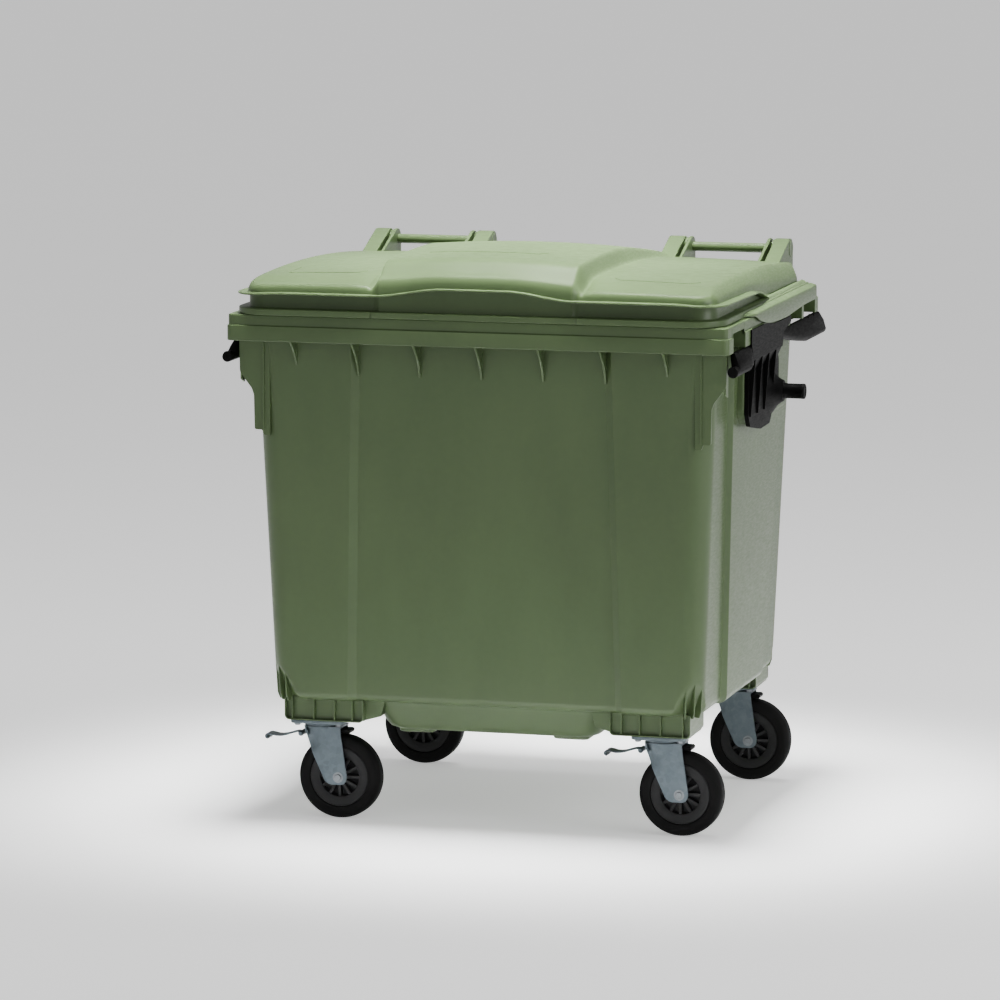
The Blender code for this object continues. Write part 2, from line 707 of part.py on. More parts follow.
def drain_plug(collection, material):
    """Quarter-turn plug in the floor's drain hole."""
    top = SUMP_BOTTOM - GAP - 0.0024 - GAP
    radius = DRAIN_RADIUS - 0.0006
    profile = [(0, 0.2440), (radius - 0.0015, 0.2440), (radius, 0.2425), (radius, top),
               (0.0375, top), (0.0390, top - 0.0015), (0.0375, top - 0.0050),
               (0, top - 0.0050)]
    place = Matrix.Translation((0, DRAIN_Y, 0))
    plug = turned("drain_plug", collection, profile, 24, place)
    join(plug, box("wing", collection, (-0.0260, DRAIN_Y - 0.0035, top - 0.0160),
                   (0.0260, DRAIN_Y + 0.0035, top - 0.0030)))
    finish(plug, material)
    set_origin(plug, (0, DRAIN_Y, top))
    return plug


# ---- casters ------------------------------------------------------------------------
PLATE_TOP = BLOCK_BOTTOM - GAP
PLATE_BOTTOM = PLATE_TOP - PLATE_SIZE[2]
RACE_TOP = PLATE_BOTTOM - GAP
RACE_BOTTOM = RACE_TOP - 0.0085
CROWN_TOP = RACE_BOTTOM - GAP
CROWN_BOTTOM = CROWN_TOP - 0.0040
LEG_Y = (0.0300, 0.0340)
PIN_RADIUS = 0.0100
AXLE_RADIUS = 0.0060
SLEEVE_RADIUS = 0.0095
PEDAL_X, PEDAL_Z = -0.0520, 0.2060
WHEEL_STEPS = 24


def caster_plate(place, name, collection, cutters, material):
    width, depth, height = PLATE_SIZE
    plate = box(name, collection, (-width / 2, -depth / 2, PLATE_BOTTOM),
                (width / 2, depth / 2, PLATE_TOP))
    bevel = plate.modifiers.new("corners", "BEVEL")
    bevel.width = 0.0015
    bevel.segments = 1
    bake(plate)
    cut(plate, cylinder("pin_hole", cutters, (0, 0, PLATE_BOTTOM - 0.01),
                        (0, 0, PLATE_TOP + 0.01), PIN_RADIUS + GAP, 12))
    plate.data.transform(place)
    return finish(plate, material)


def king_pin(place, name, collection, material):
    """Vertical pin that the fork swivels on, headed under the fork's crown."""
    foot = CROWN_BOTTOM - GAP
    profile = [(0, PLATE_TOP - 0.001), (PIN_RADIUS, PLATE_TOP - 0.001), (PIN_RADIUS, foot),
               (0.0160, foot), (0.0160, foot - 0.0040), (0.0130, foot - 0.0070),
               (0, foot - 0.0070)]
    return finish(turned(name, collection, profile, 12, place), material)


def swivel_race(place, name, collection, material):
    """Ball race between the plate and the fork."""
    profile = [(PIN_RADIUS + GAP, RACE_TOP), (0.0430, RACE_TOP), (0.0460, RACE_TOP - 0.0020),
               (0.0460, RACE_BOTTOM + 0.0035), (0.0410, RACE_BOTTOM),
               (PIN_RADIUS + GAP, RACE_BOTTOM)]
    return finish(turned(name, collection, profile, 16, place), material)


def fork(place, name, collection, cutters, material):
    """Pressed fork: a crown with two legs down to the axle and a folded nose."""
    crown = arc((0, 0), 0.0420, 55, 305, 14) + [(0.0560, -LEG_Y[1]), (0.0560, LEG_Y[1])]
    piece = prism(name, collection, crown, "Z", CROWN_BOTTOM, CROWN_TOP)
    leg = [(-0.0430, CROWN_TOP - 0.0005), (-0.0400, 0.2150), (-0.0350, 0.2050),
           (-0.0120, 0.1500), (0.0113, 0.1030), (0.0180, 0.0900), (0.0300, 0.0830),
           (0.0580, 0.0830), (0.0680, 0.0900), (0.0713, 0.1030), (0.0560, 0.2080),
           (0.0540, CROWN_TOP - 0.0005)]
    for low, high in (LEG_Y, (-LEG_Y[1], -LEG_Y[0])):
        join(piece, prism("leg", collection, leg, "Y", low, high))
    nose = [(-0.0425, CROWN_TOP - 0.0010), (-0.0395, 0.2160), (-0.0345, 0.2060),
            (-0.0305, 0.2075), (-0.0355, 0.2170), (-0.0380, CROWN_TOP - 0.0010)]
    join(piece, prism("nose", collection, nose, "Y", -LEG_Y[0] - 0.001, LEG_Y[0] + 0.001))
    cut(piece, cylinder("pin_hole", cutters, (0, 0, 0.2), (0, 0, 0.26), PIN_RADIUS + GAP, 12))
    cut(piece, cylinder("axle_hole", cutters, (CASTER_TRAIL, -0.06, AXLE_Z),
                        (CASTER_TRAIL, 0.06, AXLE_Z), AXLE_RADIUS + GAP, 12))
    piece.data.transform(place)
    return finish(piece, material)


def hexagon(radius):
    return [(CASTER_TRAIL + radius * math.cos(math.radians(60 * i)),
             AXLE_Z + radius * math.sin(math.radians(60 * i))) for i in range(6)]


def axle_bolt(place, name, collection, material):
    head = LEG_Y[1] + GAP
    bolt = prism(name, collection, hexagon(0.0105), "Y", -head - 0.0075, -head)
    shaft = cylinder("shaft", collection, (CASTER_TRAIL, -head - 0.004, AXLE_Z),
                     (CASTER_TRAIL, head + 0.0120, AXLE_Z), AXLE_RADIUS, 12)
    join(bolt, shaft)
    bolt.data.transform(place)
    return finish(bolt, material)


def axle_nut(place, name, collection, cutters, material):
    head = LEG_Y[1] + GAP
    nut = prism(name, collection, hexagon(0.0105), "Y", head, head + 0.0095)
    cut(nut, cylinder("thread", cutters, (CASTER_TRAIL, head - 0.01, AXLE_Z),
                      (CASTER_TRAIL, head + 0.02, AXLE_Z), AXLE_RADIUS + GAP, 12))
    nut.data.transform(place)
    return finish(nut, material)


def axle_frame(place):
    """Turns a profile about Z into one about the wheel's axle."""
    turn = Matrix.Rotation(-math.pi / 2, 4, "X")
    return place @ Matrix.Translation((CASTER_TRAIL, 0, AXLE_Z)) @ turn


def axle_sleeve(place, name, collection, material):
    half = LEG_Y[0] - GAP
    profile = [(AXLE_RADIUS + GAP, half), (SLEEVE_RADIUS, half), (SLEEVE_RADIUS, -half),
               (AXLE_RADIUS + GAP, -half)]
    return finish(turned(name, collection, profile, 12, axle_frame(place)), material)


def wheel_core(place, name, collection, material):
    bore = SLEEVE_RADIUS + GAP
    profile = [(bore, 0.0280), (0.0190, 0.0280), (0.0205, 0.0120), (0.0450, 0.0120),
               (HUB_RADIUS, 0.0220), (HUB_RADIUS, -0.0220), (0.0450, -0.0120), (0.0205, -0.0120),
               (0.0190, -0.0280), (bore, -0.0280)]
    facets_match_tyre = axle_frame(place) @ Matrix.Rotation(math.pi / WHEEL_STEPS, 4, "Z")
    return finish(turned(name, collection, profile, WHEEL_STEPS, facets_match_tyre), material)


def tyre(place, name, collection, material):
    """Tyre that stands on one of its flat facets."""
    half_step = math.pi / WHEEL_STEPS
    inner, half = HUB_RADIUS + GAP, WHEEL_WIDTH / 2
    outer = WHEEL_RADIUS / math.cos(half_step)
    profile = [(inner, half - 0.0020), (0.0780, half), (0.0940, half), (outer, half - 0.0100),
               (outer, 0.0100 - half), (0.0940, -half), (0.0780, -half), (inner, 0.0020 - half)]
    facet_down = axle_frame(place) @ Matrix.Rotation(half_step, 4, "Z")
    return finish(turned(name, collection, profile, WHEEL_STEPS, facet_down), material)


def brake_pedal(place, name, collection, material):
    """Foot lever at the fork's nose, with a rolled tip."""
    outline = [(-0.0460, 0.2020), (-0.0450, 0.2085), (-0.0520, 0.2120), (-0.0700, 0.2095),
               (-0.0900, 0.2035), (-0.1150, 0.2010), (-0.1300, 0.2040), (-0.1400, 0.2035),
               (-0.1450, 0.1975), (-0.1435, 0.1905), (-0.1360, 0.1885), (-0.1350, 0.1925),
               (-0.1390, 0.1945), (-0.1385, 0.1985), (-0.1300, 0.1990), (-0.1150, 0.1960),
               (-0.0900, 0.1985), (-0.0700, 0.2045)]
    pedal = prism(name, collection, outline, "Y", -0.0190, 0.0190)
    pedal.data.transform(place)
    finish(pedal, material)
    set_origin(pedal, place @ Vector((PEDAL_X, 0, PEDAL_Z)))
    return pedal


def brake_shoe(place, name, collection, material):
    """Block that the pedal presses down onto the tyre."""
    outline = [(0.0380, 0.2220), (0.0340, 0.2140), (0.0480, 0.2116), (0.0740, 0.2116),
               (0.0760, 0.2180), (0.0720, 0.2220)]
    shoe = prism(name, collection, outline, "Y", -0.0210, 0.0210)
    shoe.data.transform(place)
    return finish(shoe, material)


def caster(x, y, tag, collection, cutters, colours):
    steel, zinc, rubber, plastic = colours
    place = Matrix.Translation((x, y, 0))
    pivot = (x, y, CROWN_TOP)
    hub = (x + CASTER_TRAIL, y, AXLE_Z)
    caster_plate(place, "caster_plate_" + tag, collection, cutters, zinc)
    king_pin(place, "king_pin_" + tag, collection, steel)
    swivel_race(place, "swivel_race_" + tag, collection, zinc)
    set_origin(fork(place, "fork_" + tag, collection, cutters, zinc), pivot)
    axle_bolt(place, "axle_bolt_" + tag, collection, steel)
    axle_nut(place, "axle_nut_" + tag, collection, cutters, steel)
    axle_sleeve(place, "axle_sleeve_" + tag, collection, steel)
    set_origin(wheel_core(place, "wheel_core_" + tag, collection, plastic), hub)
    set_origin(tyre(place, "tyre_" + tag, collection, rubber), hub)
    brake_pedal(place, "brake_pedal_" + tag, collection, zinc)
    brake_shoe(place, "brake_shoe_" + tag, collection, plastic)


def main():
    clear_scene()
    parts = new_collection(COLLECTION)
    cutters = new_collection("cutters")
    green = make_material("green_polyethylene", (0.105, 0.135, 0.075), 0.45, 0.0)
    black = make_material("black_plastic", (0.012, 0.012, 0.012), 0.50, 0.0)
    rubber = make_material("tyre_rubber", (0.015, 0.015, 0.015), 0.85, 0.0)
    steel = make_material("bare_steel", (0.45, 0.46, 0.48), 0.35, 1.0)
    zinc = make_material("zinc_plated_steel", (0.50, 0.55, 0.60), 0.45, 0.9)

    bin_body(parts, cutters, green)
    lid(parts, cutters, green)
    drain_seal(parts, rubber)
    drain_plug(parts, black)
    for side, tag in ((-1, "left"), (1, "right")):
        hinge_bar(side, "hinge_bar_" + tag, parts, green)
        trunnion_bracket(side, "trunnion_bracket_" + tag, parts, cutters, black)
        trunnion_pin(side, "trunnion_pin_" + tag, parts, black)
        side_handle(side, "side_handle_" + tag, parts, black)
        for end, end_tag in ((0, "front"), (1, "rear")):
            caster(side * CASTER_X, CASTER_Y[end], end_tag + "_" + tag, parts, cutters,
                   (steel, zinc, rubber, black))


main()
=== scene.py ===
"""Looks of the four-wheel waste container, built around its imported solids.

Metres, +Z up, +X to the container's right, -Y to its front.
"""
import math

import bmesh
import bpy
from mathutils import Matrix, Vector


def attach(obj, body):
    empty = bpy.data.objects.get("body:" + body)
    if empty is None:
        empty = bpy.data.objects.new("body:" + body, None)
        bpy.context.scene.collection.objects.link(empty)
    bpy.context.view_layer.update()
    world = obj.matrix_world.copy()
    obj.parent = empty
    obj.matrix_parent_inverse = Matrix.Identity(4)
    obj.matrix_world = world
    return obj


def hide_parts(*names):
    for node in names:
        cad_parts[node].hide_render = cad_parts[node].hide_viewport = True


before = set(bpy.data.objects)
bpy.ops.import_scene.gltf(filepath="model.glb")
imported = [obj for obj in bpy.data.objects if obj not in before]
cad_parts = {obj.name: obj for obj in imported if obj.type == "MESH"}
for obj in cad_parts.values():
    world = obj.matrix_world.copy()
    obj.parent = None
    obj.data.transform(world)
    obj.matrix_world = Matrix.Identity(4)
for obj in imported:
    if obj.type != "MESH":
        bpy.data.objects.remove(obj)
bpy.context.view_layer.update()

# ---- dimensions shared with the solids ------------------------------------------------
RIM_HALF_X, RIM_FRONT, RIM_BACK = 0.6196, -0.5184, 0.4918
RIM_TOP, RIM_STEP_Z, RIM_BOTTOM = 1.2544, 1.2283, 1.1905
RIM_STEP, RIM_RADIUS = 0.0035, 0.012
SIDES = ((-1, "left"), (1, "right"))
TUB_TOP, TUB_BOTTOM = 1.23, 0.3
# the tub's walls at its bottom and at its top
TUB_HALF_X, TUB_FRONT, TUB_BACK = (0.538, 0.576), (-0.438, -0.47), (0.408, 0.44)
TUB_WALL, TUB_RADIUS = 0.006, 0.055
# outside and inside of the tub where its walls round into its floor
FLOOR_ROUNDS, FLOOR_INSETS, FLOOR_RELIEF = (0.02, 0.016), (0.055, 0.06), 0.2
PANEL_DEPTH, PANEL_SLOPE, PANEL_HALF_X = 0.0135, 0.0186, (0.345, 0.3225)
SIDE_PROUD = 0.014
# the proud side panel's front edge at one level, its lean, and the sum of its two edges' Y
PROUD_FRONT, PROUD_LEVEL, PROUD_LEAN, PROUD_ENDS = -0.295, 1.06, 0.0987, -0.026
RIB_COUNT, RIB_PITCH, RIB_TIP = 7, 0.154, 1.107
SUMP_BOTTOM, SUMP_RADII = 0.228, (0.045, 0.04)
SUMP_RINGS = ((0.3, -0.398, 0.378, 0.3), (0.296, -0.395, 0.375, 0.294),
              (0.272, -0.378, 0.358, 0.244), (0.264, -0.371, 0.351, 0.233),
              (0.252, -0.363, 0.343, SUMP_BOTTOM))
DRAIN_Y, DRAIN_RADIUS, DRAIN_STEPS = 0.05, 0.03, 36
SCOOP_TOP, SCOOP_LOW, FIN_LOW, FIN_HALF = 0.385, 0.292, 0.296, 0.0018
SCOOP_CUT = (0.075, 0.0322)
# a cut across a square corner shrinks by 2 - sqrt(2) of any inset of both walls
CUT_PER_INSET = 0.586
CORNER_REACHES = (0.1, 0.085, 0.075, 0.068, 0.061)
SKIRT_POCKETS = ((-0.466, -0.339), (0.152, 0.291), (0.313, 0.444))
POCKET_TOP = 1.236
PAD_Y = (-0.25, 0.24)
RIB_HALF = 0.0025
BLOCK_RIBS = (0.095, 0.37, 0.63, 0.855)
BLOCK_X, BLOCK_BOTTOM, BLOCK_DEPTH = (0.31, 0.511), 0.247, 0.142
BLOCK_TOP, BLOCK_WALL, BLOCK_ROUND, BLOCK_INNER_ROUND = 0.303, 0.003, 0.012, 0.009
CASTER_X, CASTER_Y, CASTER_TRAIL = 0.4303, {"front": -0.3645, "rear": 0.381}, 0.0484
WHEEL_RADIUS = 0.104
HINGE_Y, HINGE_Z, HINGE_RADIUS, BAR_RADIUS = 0.5105, 1.3435, 0.026, 0.012
LID_ARMS = ((0.2326, 0.2734), (0.507, 0.5457))
LID_PLATES = ((0.284, 0.292), (0.4886, 0.4966))
LUG_X = ((0.2744, 0.281), (0.4996, 0.506))
LID_HALF_X, LID_FRONT, LID_BACK, LID_RADIUS = 0.585, -0.512, 0.464, 0.06
LID_SEAT, LID_FLANGE_Z, LID_TOP = 1.2554, 1.31, 1.357
LID_WALL, FLANGE_ARCH, FRONT_PRIDE, INNER_INSET = 0.0045, 0.02, 0.0085, 0.009
HUMP_HEIGHT, HUMP_SIDE = 0.0467, (0.237, 0.26)
# how the crown and the hump fall away across and along, from the crown's peak and past a level part
CROWN_FALL, CROWN_PEAK_Y, HUMP_FALL, HUMP_LEVEL_Y = (0.03, 0.08), -0.19, (0.148, 0.06), -0.06
CROWN_ROUND, HUMP_ROUND, GROOVE_X, GROOVE_DEPTH = 0.013, 0.02, 0.262, 0.012
APRON_OUT, APRON_RUN_OUT = (0.597, 0.628), (-0.33, -0.24)
APRON_EDGE = ((-0.33, 1.2575), (-0.24, 1.256), (-0.2, 1.24), (-0.112, 1.2256),
              (0.0, 1.2185), (0.106, 1.217), (0.2, 1.2215), (0.302, 1.2263),
              (0.44, 1.227))
BORDER_STEPS = (0.0, 0.0012, 0.003, 0.0055, 0.009, 0.0135, 0.019, 0.0255, 0.033, 0.042, 0.052,
                0.064, 0.078, 0.094, 0.112)
EMBOSSED_LINES = (((-0.5, -0.3), (-0.5, -0.4), (-0.33, -0.4), (-0.31, -0.37)),
                  ((0.31, -0.37), (0.33, -0.4), (0.5, -0.4), (0.52, -0.37)),
                  ((-0.165, -0.33), (0.11, -0.33), (0.125, -0.3)))
HANDLE_X, HANDLE_Z, HANDLE_RADIUS = 0.6285, 1.147, 0.0126
SPOKES = 12
TRUNNION_Y, TRUNNION_Z, TRUNNION_RADIUS, TRUNNION_TIP = 0.05, 1.04, 0.019, 0.6856
CAMERA_PLACE, CAMERA_LENS = (3.7116, -13.8745, 2.8145), 210.1
CAMERA_DOWN, CAMERA_TURN = 8.1747, 15.2775


# ---- small maths ----------------------------------------------------------------------
def mix(low, high, share):
    return low + (high - low) * share


def smooth_step(low, high, value):
    share = min(1.0, max(0.0, (value - low) / (high - low)))
    return share * share * (3.0 - 2.0 * share)


def span(side, low, high):
    """Two X values on the left (-1) or right (1) side, the smaller first."""
    return sorted((side * low, side * high))


def sided(side, points):
    """Points with their X on the left (-1) or right (1) side."""
    return [(side * point[0], *point[1:]) for point in points]


def side_box(side, x, y, z):
    """Low and high corner of a box whose X range lies on the left (-1) or right (1) side."""
    start, end = span(side, *x)
    return (start, y[0], z[0]), (end, y[1], z[1])


def arc(centre, radius, start, end, count):
    """Points of an arc in a plane; angles in degrees."""
    points = []
    for i in range(count + 1):
        angle = math.radians(mix(start, end, i / count))
        points.append((centre[0] + radius * math.cos(angle),
                       centre[1] + radius * math.sin(angle)))
    return points


def fillet(corners, segments=4):
    """Rounds each corner (x, y, radius) of a closed outline."""
    points = []
    count = len(corners)
    for i, (x, y, radius) in enumerate(corners):
        here = Vector((x, y))
        before = Vector(corners[i - 1][:2]) - here
        after = Vector(corners[(i + 1) % count][:2]) - here
        angle = before.angle(after)
        reach = radius / math.tan(angle / 2)
        reach = min(reach, before.length * 0.48, after.length * 0.48)
        start = here + before.normalized() * reach
        end = here + after.normalized() * reach
        for step in range(segments + 1):
            share = step / segments
            first = start.lerp(here, share)
            second = here.lerp(end, share)
            blend = first.lerp(second, share)
            points.append((blend.x, blend.y))
    return points


# ---- materials ------------------------------------------------------------------------
class Nodes:
    """Short way to add and join shader nodes."""

    def __init__(self, name):
        self.material = bpy.data.materials.new(name)
        self.material.use_nodes = True
        self.tree = self.material.node_tree
        self.shader = self.tree.nodes["Principled BSDF"]
        self.place = self.add("ShaderNodeTexCoord").outputs["Object"]

    def feed(self, socket, value):
        """Joins another node's output to a socket, or sets a plain value in it."""
        if hasattr(value, "is_linked"):
            self.tree.links.new(value, socket)
        else:
            socket.default_value = value

    def add(self, kind, sockets=()):
        """Adds a node; its sockets are (name, value or output) pairs."""
        node = self.tree.nodes.new(kind)
        for key, value in sockets:
            self.feed(node.inputs[key], value)
        return node

    def shade(self, key, value):
        self.feed(self.shader.inputs[key], value)


def noise(nodes, vector, scale, detail=3.0, roughness=0.55):
    node = nodes.add("ShaderNodeTexNoise", (("Scale", scale), ("Detail", detail),
                                            ("Roughness", roughness), ("Vector", vector)))
    return node.outputs["Fac"]


def remap(nodes, value, low, high, to_low, to_high):
    node = nodes.add("ShaderNodeMapRange", (("Value", value), ("From Min", low), ("From Max", high),
                                            ("To Min", to_low), ("To Max", to_high)))
    return node.outputs["Result"]


def mix_colour(nodes, share, first, second):
    node = nodes.add("ShaderNodeMix")
    node.data_type = "RGBA"
    first, second = ((*c, 1.0) if isinstance(c, tuple) else c for c in (first, second))
    # a mix node has sockets for every data type: these are its factor and its two colours
    for socket, value in ((0, share), (6, first), (7, second)):
        nodes.feed(node.inputs[socket], value)
    return node.outputs[2]


def scaled(nodes, vector, x, y, z):
    node = nodes.add("ShaderNodeMapping", (("Scale", (x, y, z)), ("Vector", vector)))
    return node.outputs["Vector"]


def tint(colour, gain, lift=0.0):
    return tuple(min(1.0, c * gain + lift) for c in colour)


def finish_bump(nodes, layers):
    """Chains bump layers of (height, strength, distance) into the shader."""
    normal = ()
    for height, strength, distance in layers:
        bump = nodes.add("ShaderNodeBump", (("Strength", strength), ("Distance", distance),
                                            ("Height", height), *normal))
        normal = (("Normal", bump.outputs["Normal"]),)
    nodes.shade(*normal[0])


def moulded_plastic(name, colour, roughness, variation=0.1, grain=0.12, specular=0.5):
    """Injection-moulded plastic: flow marks, fine grain, faint scuffs on its edges."""
    nodes = Nodes(name)
    place = nodes.place
    flow = noise(nodes, scaled(nodes, place, 1.0, 1.0, 0.35), 5.0, 4.0)
    mottle = noise(nodes, place, 60.0, 2.0)
    dark, light = tint(colour, 1.0 - variation), tint(colour, 1.0 + variation)
    base = mix_colour(nodes, remap(nodes, flow, 0.3, 0.7, 0.0, 1.0), dark, light)
    pale = tint(colour, 1.25, 0.0008)
    base = mix_colour(nodes, remap(nodes, mottle, 0.35, 0.75, 0.0, 0.16), base, pale)
    edge = nodes.add("ShaderNodeNewGeometry").outputs["Pointiness"]
    worn = tint(colour, 1.5, 0.002)
    base = mix_colour(nodes, remap(nodes, edge, 0.53, 0.6, 0.0, 0.35), base, worn)
    nodes.shade("Base Color", base)
    scuff = noise(nodes, scaled(nodes, place, 1.0, 1.0, 6.0), 40.0, 5.0)
    nodes.shade("Roughness", remap(nodes, scuff, 0.3, 0.75, roughness - 0.05, roughness + 0.09))
    nodes.shade("Specular IOR Level", specular)
    fine = noise(nodes, place, 1400.0, 2.0)
    wave = noise(nodes, place, 9.0, 2.0)
    finish_bump(nodes, ((wave, 0.12, 0.004), (fine, grain, 0.0004)))
    return nodes.material


def plated_steel(name, colour, roughness, spangle=90.0):
    """Zinc-plated pressed steel with a faint spangle and handling marks."""
    nodes = Nodes(name)
    place = nodes.place
    cells = nodes.add("ShaderNodeTexVoronoi", (("Scale", spangle), ("Vector", place)))
    cloud = noise(nodes, place, 35.0, 4.0)
    base = mix_colour(nodes, remap(nodes, cells.outputs["Color"], 0.2, 0.8, 0.25, 0.75),
                      tint(colour, 0.8), tint(colour, 1.12))
    base = mix_colour(nodes, remap(nodes, cloud, 0.45, 0.8, 0.0, 0.35), base, tint(colour, 0.62))
    nodes.shade("Base Color", base)
    nodes.shade("Metallic", 0.85)
    nodes.shade("Roughness", remap(nodes, cloud, 0.3, 0.7, roughness - 0.06, roughness + 0.1))
    fine = noise(nodes, place, 700.0, 3.0)
    finish_bump(nodes, ((fine, 0.1, 0.0003),))
    return nodes.material


def solid_rubber(name, colour, roughness):
    """Tyre rubber, matte, with dust in its grain."""
    nodes = Nodes(name)
    place = nodes.place
    dust = noise(nodes, place, 45.0, 5.0)
    base = mix_colour(nodes, remap(nodes, dust, 0.5, 0.8, 0.0, 0.3), colour,
                      (0.01, 0.0098, 0.0095))
    nodes.shade("Base Color", base)
    nodes.shade("Roughness", remap(nodes, dust, 0.3, 0.7, roughness - 0.08, roughness + 0.05))
    nodes.shade("Specular IOR Level", 0.12)
    fine = noise(nodes, place, 900.0, 3.0)
    finish_bump(nodes, ((fine, 0.25, 0.0004),))
    return nodes.material


GREEN = moulded_plastic("green_moulding", (0.058, 0.09, 0.036), 0.34, specular=0.3)
BLACK = moulded_plastic("black_moulding", (0.0012, 0.0012, 0.0012), 0.5, grain=0.1,
                        specular=0.06)
HUB = moulded_plastic("grey_hub_moulding", (0.012, 0.012, 0.0125), 0.55, grain=0.1,
                      specular=0.22)
RUBBER = solid_rubber("solid_tyre_rubber", (0.003, 0.003, 0.003), 0.75)
ZINC = plated_steel("bright_zinc_plate", (0.105, 0.13, 0.146), 0.42)
STEEL = plated_steel("turned_steel", (0.2, 0.215, 0.23), 0.36, 400.0)


# ---- mesh tools -----------------------------------------------------------------------
def show(name, data):
    """Makes an object and links it into the scene."""
    made = bpy.data.objects.new(name, data)
    bpy.context.scene.collection.objects.link(made)
    return made


def mesh_object(bm, name):
    """Turns a bmesh into an object of the scene."""
    mesh = bpy.data.meshes.new(name)
    bm.to_mesh(mesh)
    bm.free()
    return show(name, mesh)


def piece(bm, name, material, body, sharp=32, bevel=0.0, segments=2, replaced=()):
    """Turns a bmesh into a shown piece that rides on a body."""
    bmesh.ops.remove_doubles(bm, verts=bm.verts, dist=0.00001)
    bmesh.ops.recalc_face_normals(bm, faces=bm.faces)
    built = mesh_object(bm, name)
    mesh = built.data
    mesh.materials.append(material)
    mesh.shade_smooth()
    if bevel:
        edges = built.modifiers.new("edges", "BEVEL")
        edges.width = bevel
        edges.segments = segments
        edges.limit_method = "ANGLE"
        edges.angle_limit = math.radians(sharp)
        edges.harden_normals = True
    mesh.set_sharp_from_angle(angle=math.radians(sharp))
    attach(built, body)
    if replaced:
        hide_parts(*replaced)
    return built


def skin(bm, lower, upper, closed=True):
    """Faces between two rows of corners; a closed row joins its end to its start."""
    count = len(lower)
    for i in range(count if closed else count - 1):
        j = (i + 1) % count
        bm.faces.new((lower[i], lower[j], upper[j], upper[i]))


def loft_into(bm, rings, closed=True, caps=True):
    """Skins a row of rings of equal point count."""
    rows = [[bm.verts.new(point) for point in ring] for ring in rings]
    for lower, upper in zip(rows, rows[1:]):
        skin(bm, lower, upper, closed)
    if caps:
        bm.faces.new(list(reversed(rows[0])))
        bm.faces.new(rows[-1])
    return rows


def prism_into(bm, outline, axis, low, high):
    """Extrudes an outline along an axis; its points are in the other two axes' order."""
    def spot(point, depth):
        if axis == "X":
            return (depth, point[0], point[1])
        if axis == "Y":
            return (point[0], depth, point[1])
        return (point[0], point[1], depth)
    loft_into(bm, [[spot(p, depth) for p in outline] for depth in (low, high)])


def box_into(bm, low, high):
    outline = [(low[0], low[1]), (high[0], low[1]), (high[0], high[1]), (low[0], high[1])]
    prism_into(bm, outline, "Z", low[2], high[2])


def turned_into(bm, profile, steps, place):
    """Spins (radius, height) points about Z, then places them."""
    rings = []
    for i in range(steps):
        angle = math.tau * i / steps
        rings.append([place @ Vector((r * math.cos(angle), r * math.sin(angle), h))
                      for r, h in profile])
    loft_into(bm, rings + [rings[0]], closed=False, caps=False)


def tube_into(bm, start, end, radius, steps=24):
    """Round bar with softened ends."""
    start, end = Vector(start), Vector(end)
    length = (end - start).length
    place = Matrix.Translation(start)
    place = place @ (end - start).to_track_quat("Z", "Y").to_matrix().to_4x4()
    soft = min(0.0015, radius * 0.2)
    profile = [(0, 0), (radius - soft, 0), (radius, soft), (radius, length - soft),
               (radius - soft, length), (0, length)]
    turned_into(bm, profile, steps, place)


def carve(bm, boxes):
    """Cuts boxes out of a bmesh and returns the result as a new one."""
    tools = bmesh.new()
    for low, high in boxes:
        box_into(tools, low, high)
    pair = []
    for name, source in (("carved", bm), ("carving_tools", tools)):
        bmesh.ops.recalc_face_normals(source, faces=source.faces)
        pair.append(mesh_object(source, name))
    target, tool = pair
    modifier = target.modifiers.new("carve", "BOOLEAN")
    modifier.operation = "DIFFERENCE"
    modifier.object = tool
    modifier.solver = "EXACT"
    bpy.context.view_layer.update()
    evaluated = target.evaluated_get(bpy.context.evaluated_depsgraph_get())
    result = bmesh.new()
    result.from_mesh(evaluated.to_mesh())
    for made in pair:
        mesh = made.data
        bpy.data.objects.remove(made, do_unlink=True)
        bpy.data.meshes.remove(mesh)
    return result


def rounded_rectangle(half_x, front, back, radius, z, segments=8):
    corners = ((half_x - radius, back - radius, 0), (-half_x + radius, back - radius, 90),
               (-half_x + radius, front + radius, 180), (half_x - radius, front + radius, 270))
    outline = []
    for x, y, start in corners:
        outline += arc((x, y), radius, start, start + 90, segments)
    return [(x, y, z) for x, y in outline]


def placed(place, points):
    return [place @ Vector(point) for point in points]


def mirrored(half):
    """Closed (radius, height) outline from the half of it above the middle."""
    whole = half + [(r, -h) for r, h in reversed(half)]
    return whole + [whole[0]]


# ---- container body -------------------------------------------------------------------
def cut_reach(z):
    """Sum of a point's distances from two walls below which a bottom corner is cut away."""
    if z >= SCOOP_TOP:
        return 0.0
    return mix(*SCOOP_CUT, (z - SCOOP_LOW) / (SCOOP_TOP - SCOOP_LOW))


def corner_spots(radius, cut):
    """Points round a corner, as distances from the wall before it and the wall after it."""
    spots = [(0.0, reach) for reach in CORNER_REACHES]
    for step in range(17):
        angle = math.pi / 2 * step / 16
        spots.append((radius * (1.0 - math.cos(angle)), radius * (1.0 - math.sin(angle))))
    spots += [(reach, 0.0) for reach in reversed(CORNER_REACHES)]
    moved = []
    for before, after in spots:
        short = max(0.0, cut - before - after) / 2
        moved.append((before + short, after + short))
    return moved


def tub_share(z):
    return (z - TUB_BOTTOM) / (TUB_TOP - TUB_BOTTOM)


def tub_walls(z):
    """Half width, front and back of the tub at one height."""
    return [mix(*ends, tub_share(z)) for ends in (TUB_HALF_X, TUB_FRONT, TUB_BACK)]


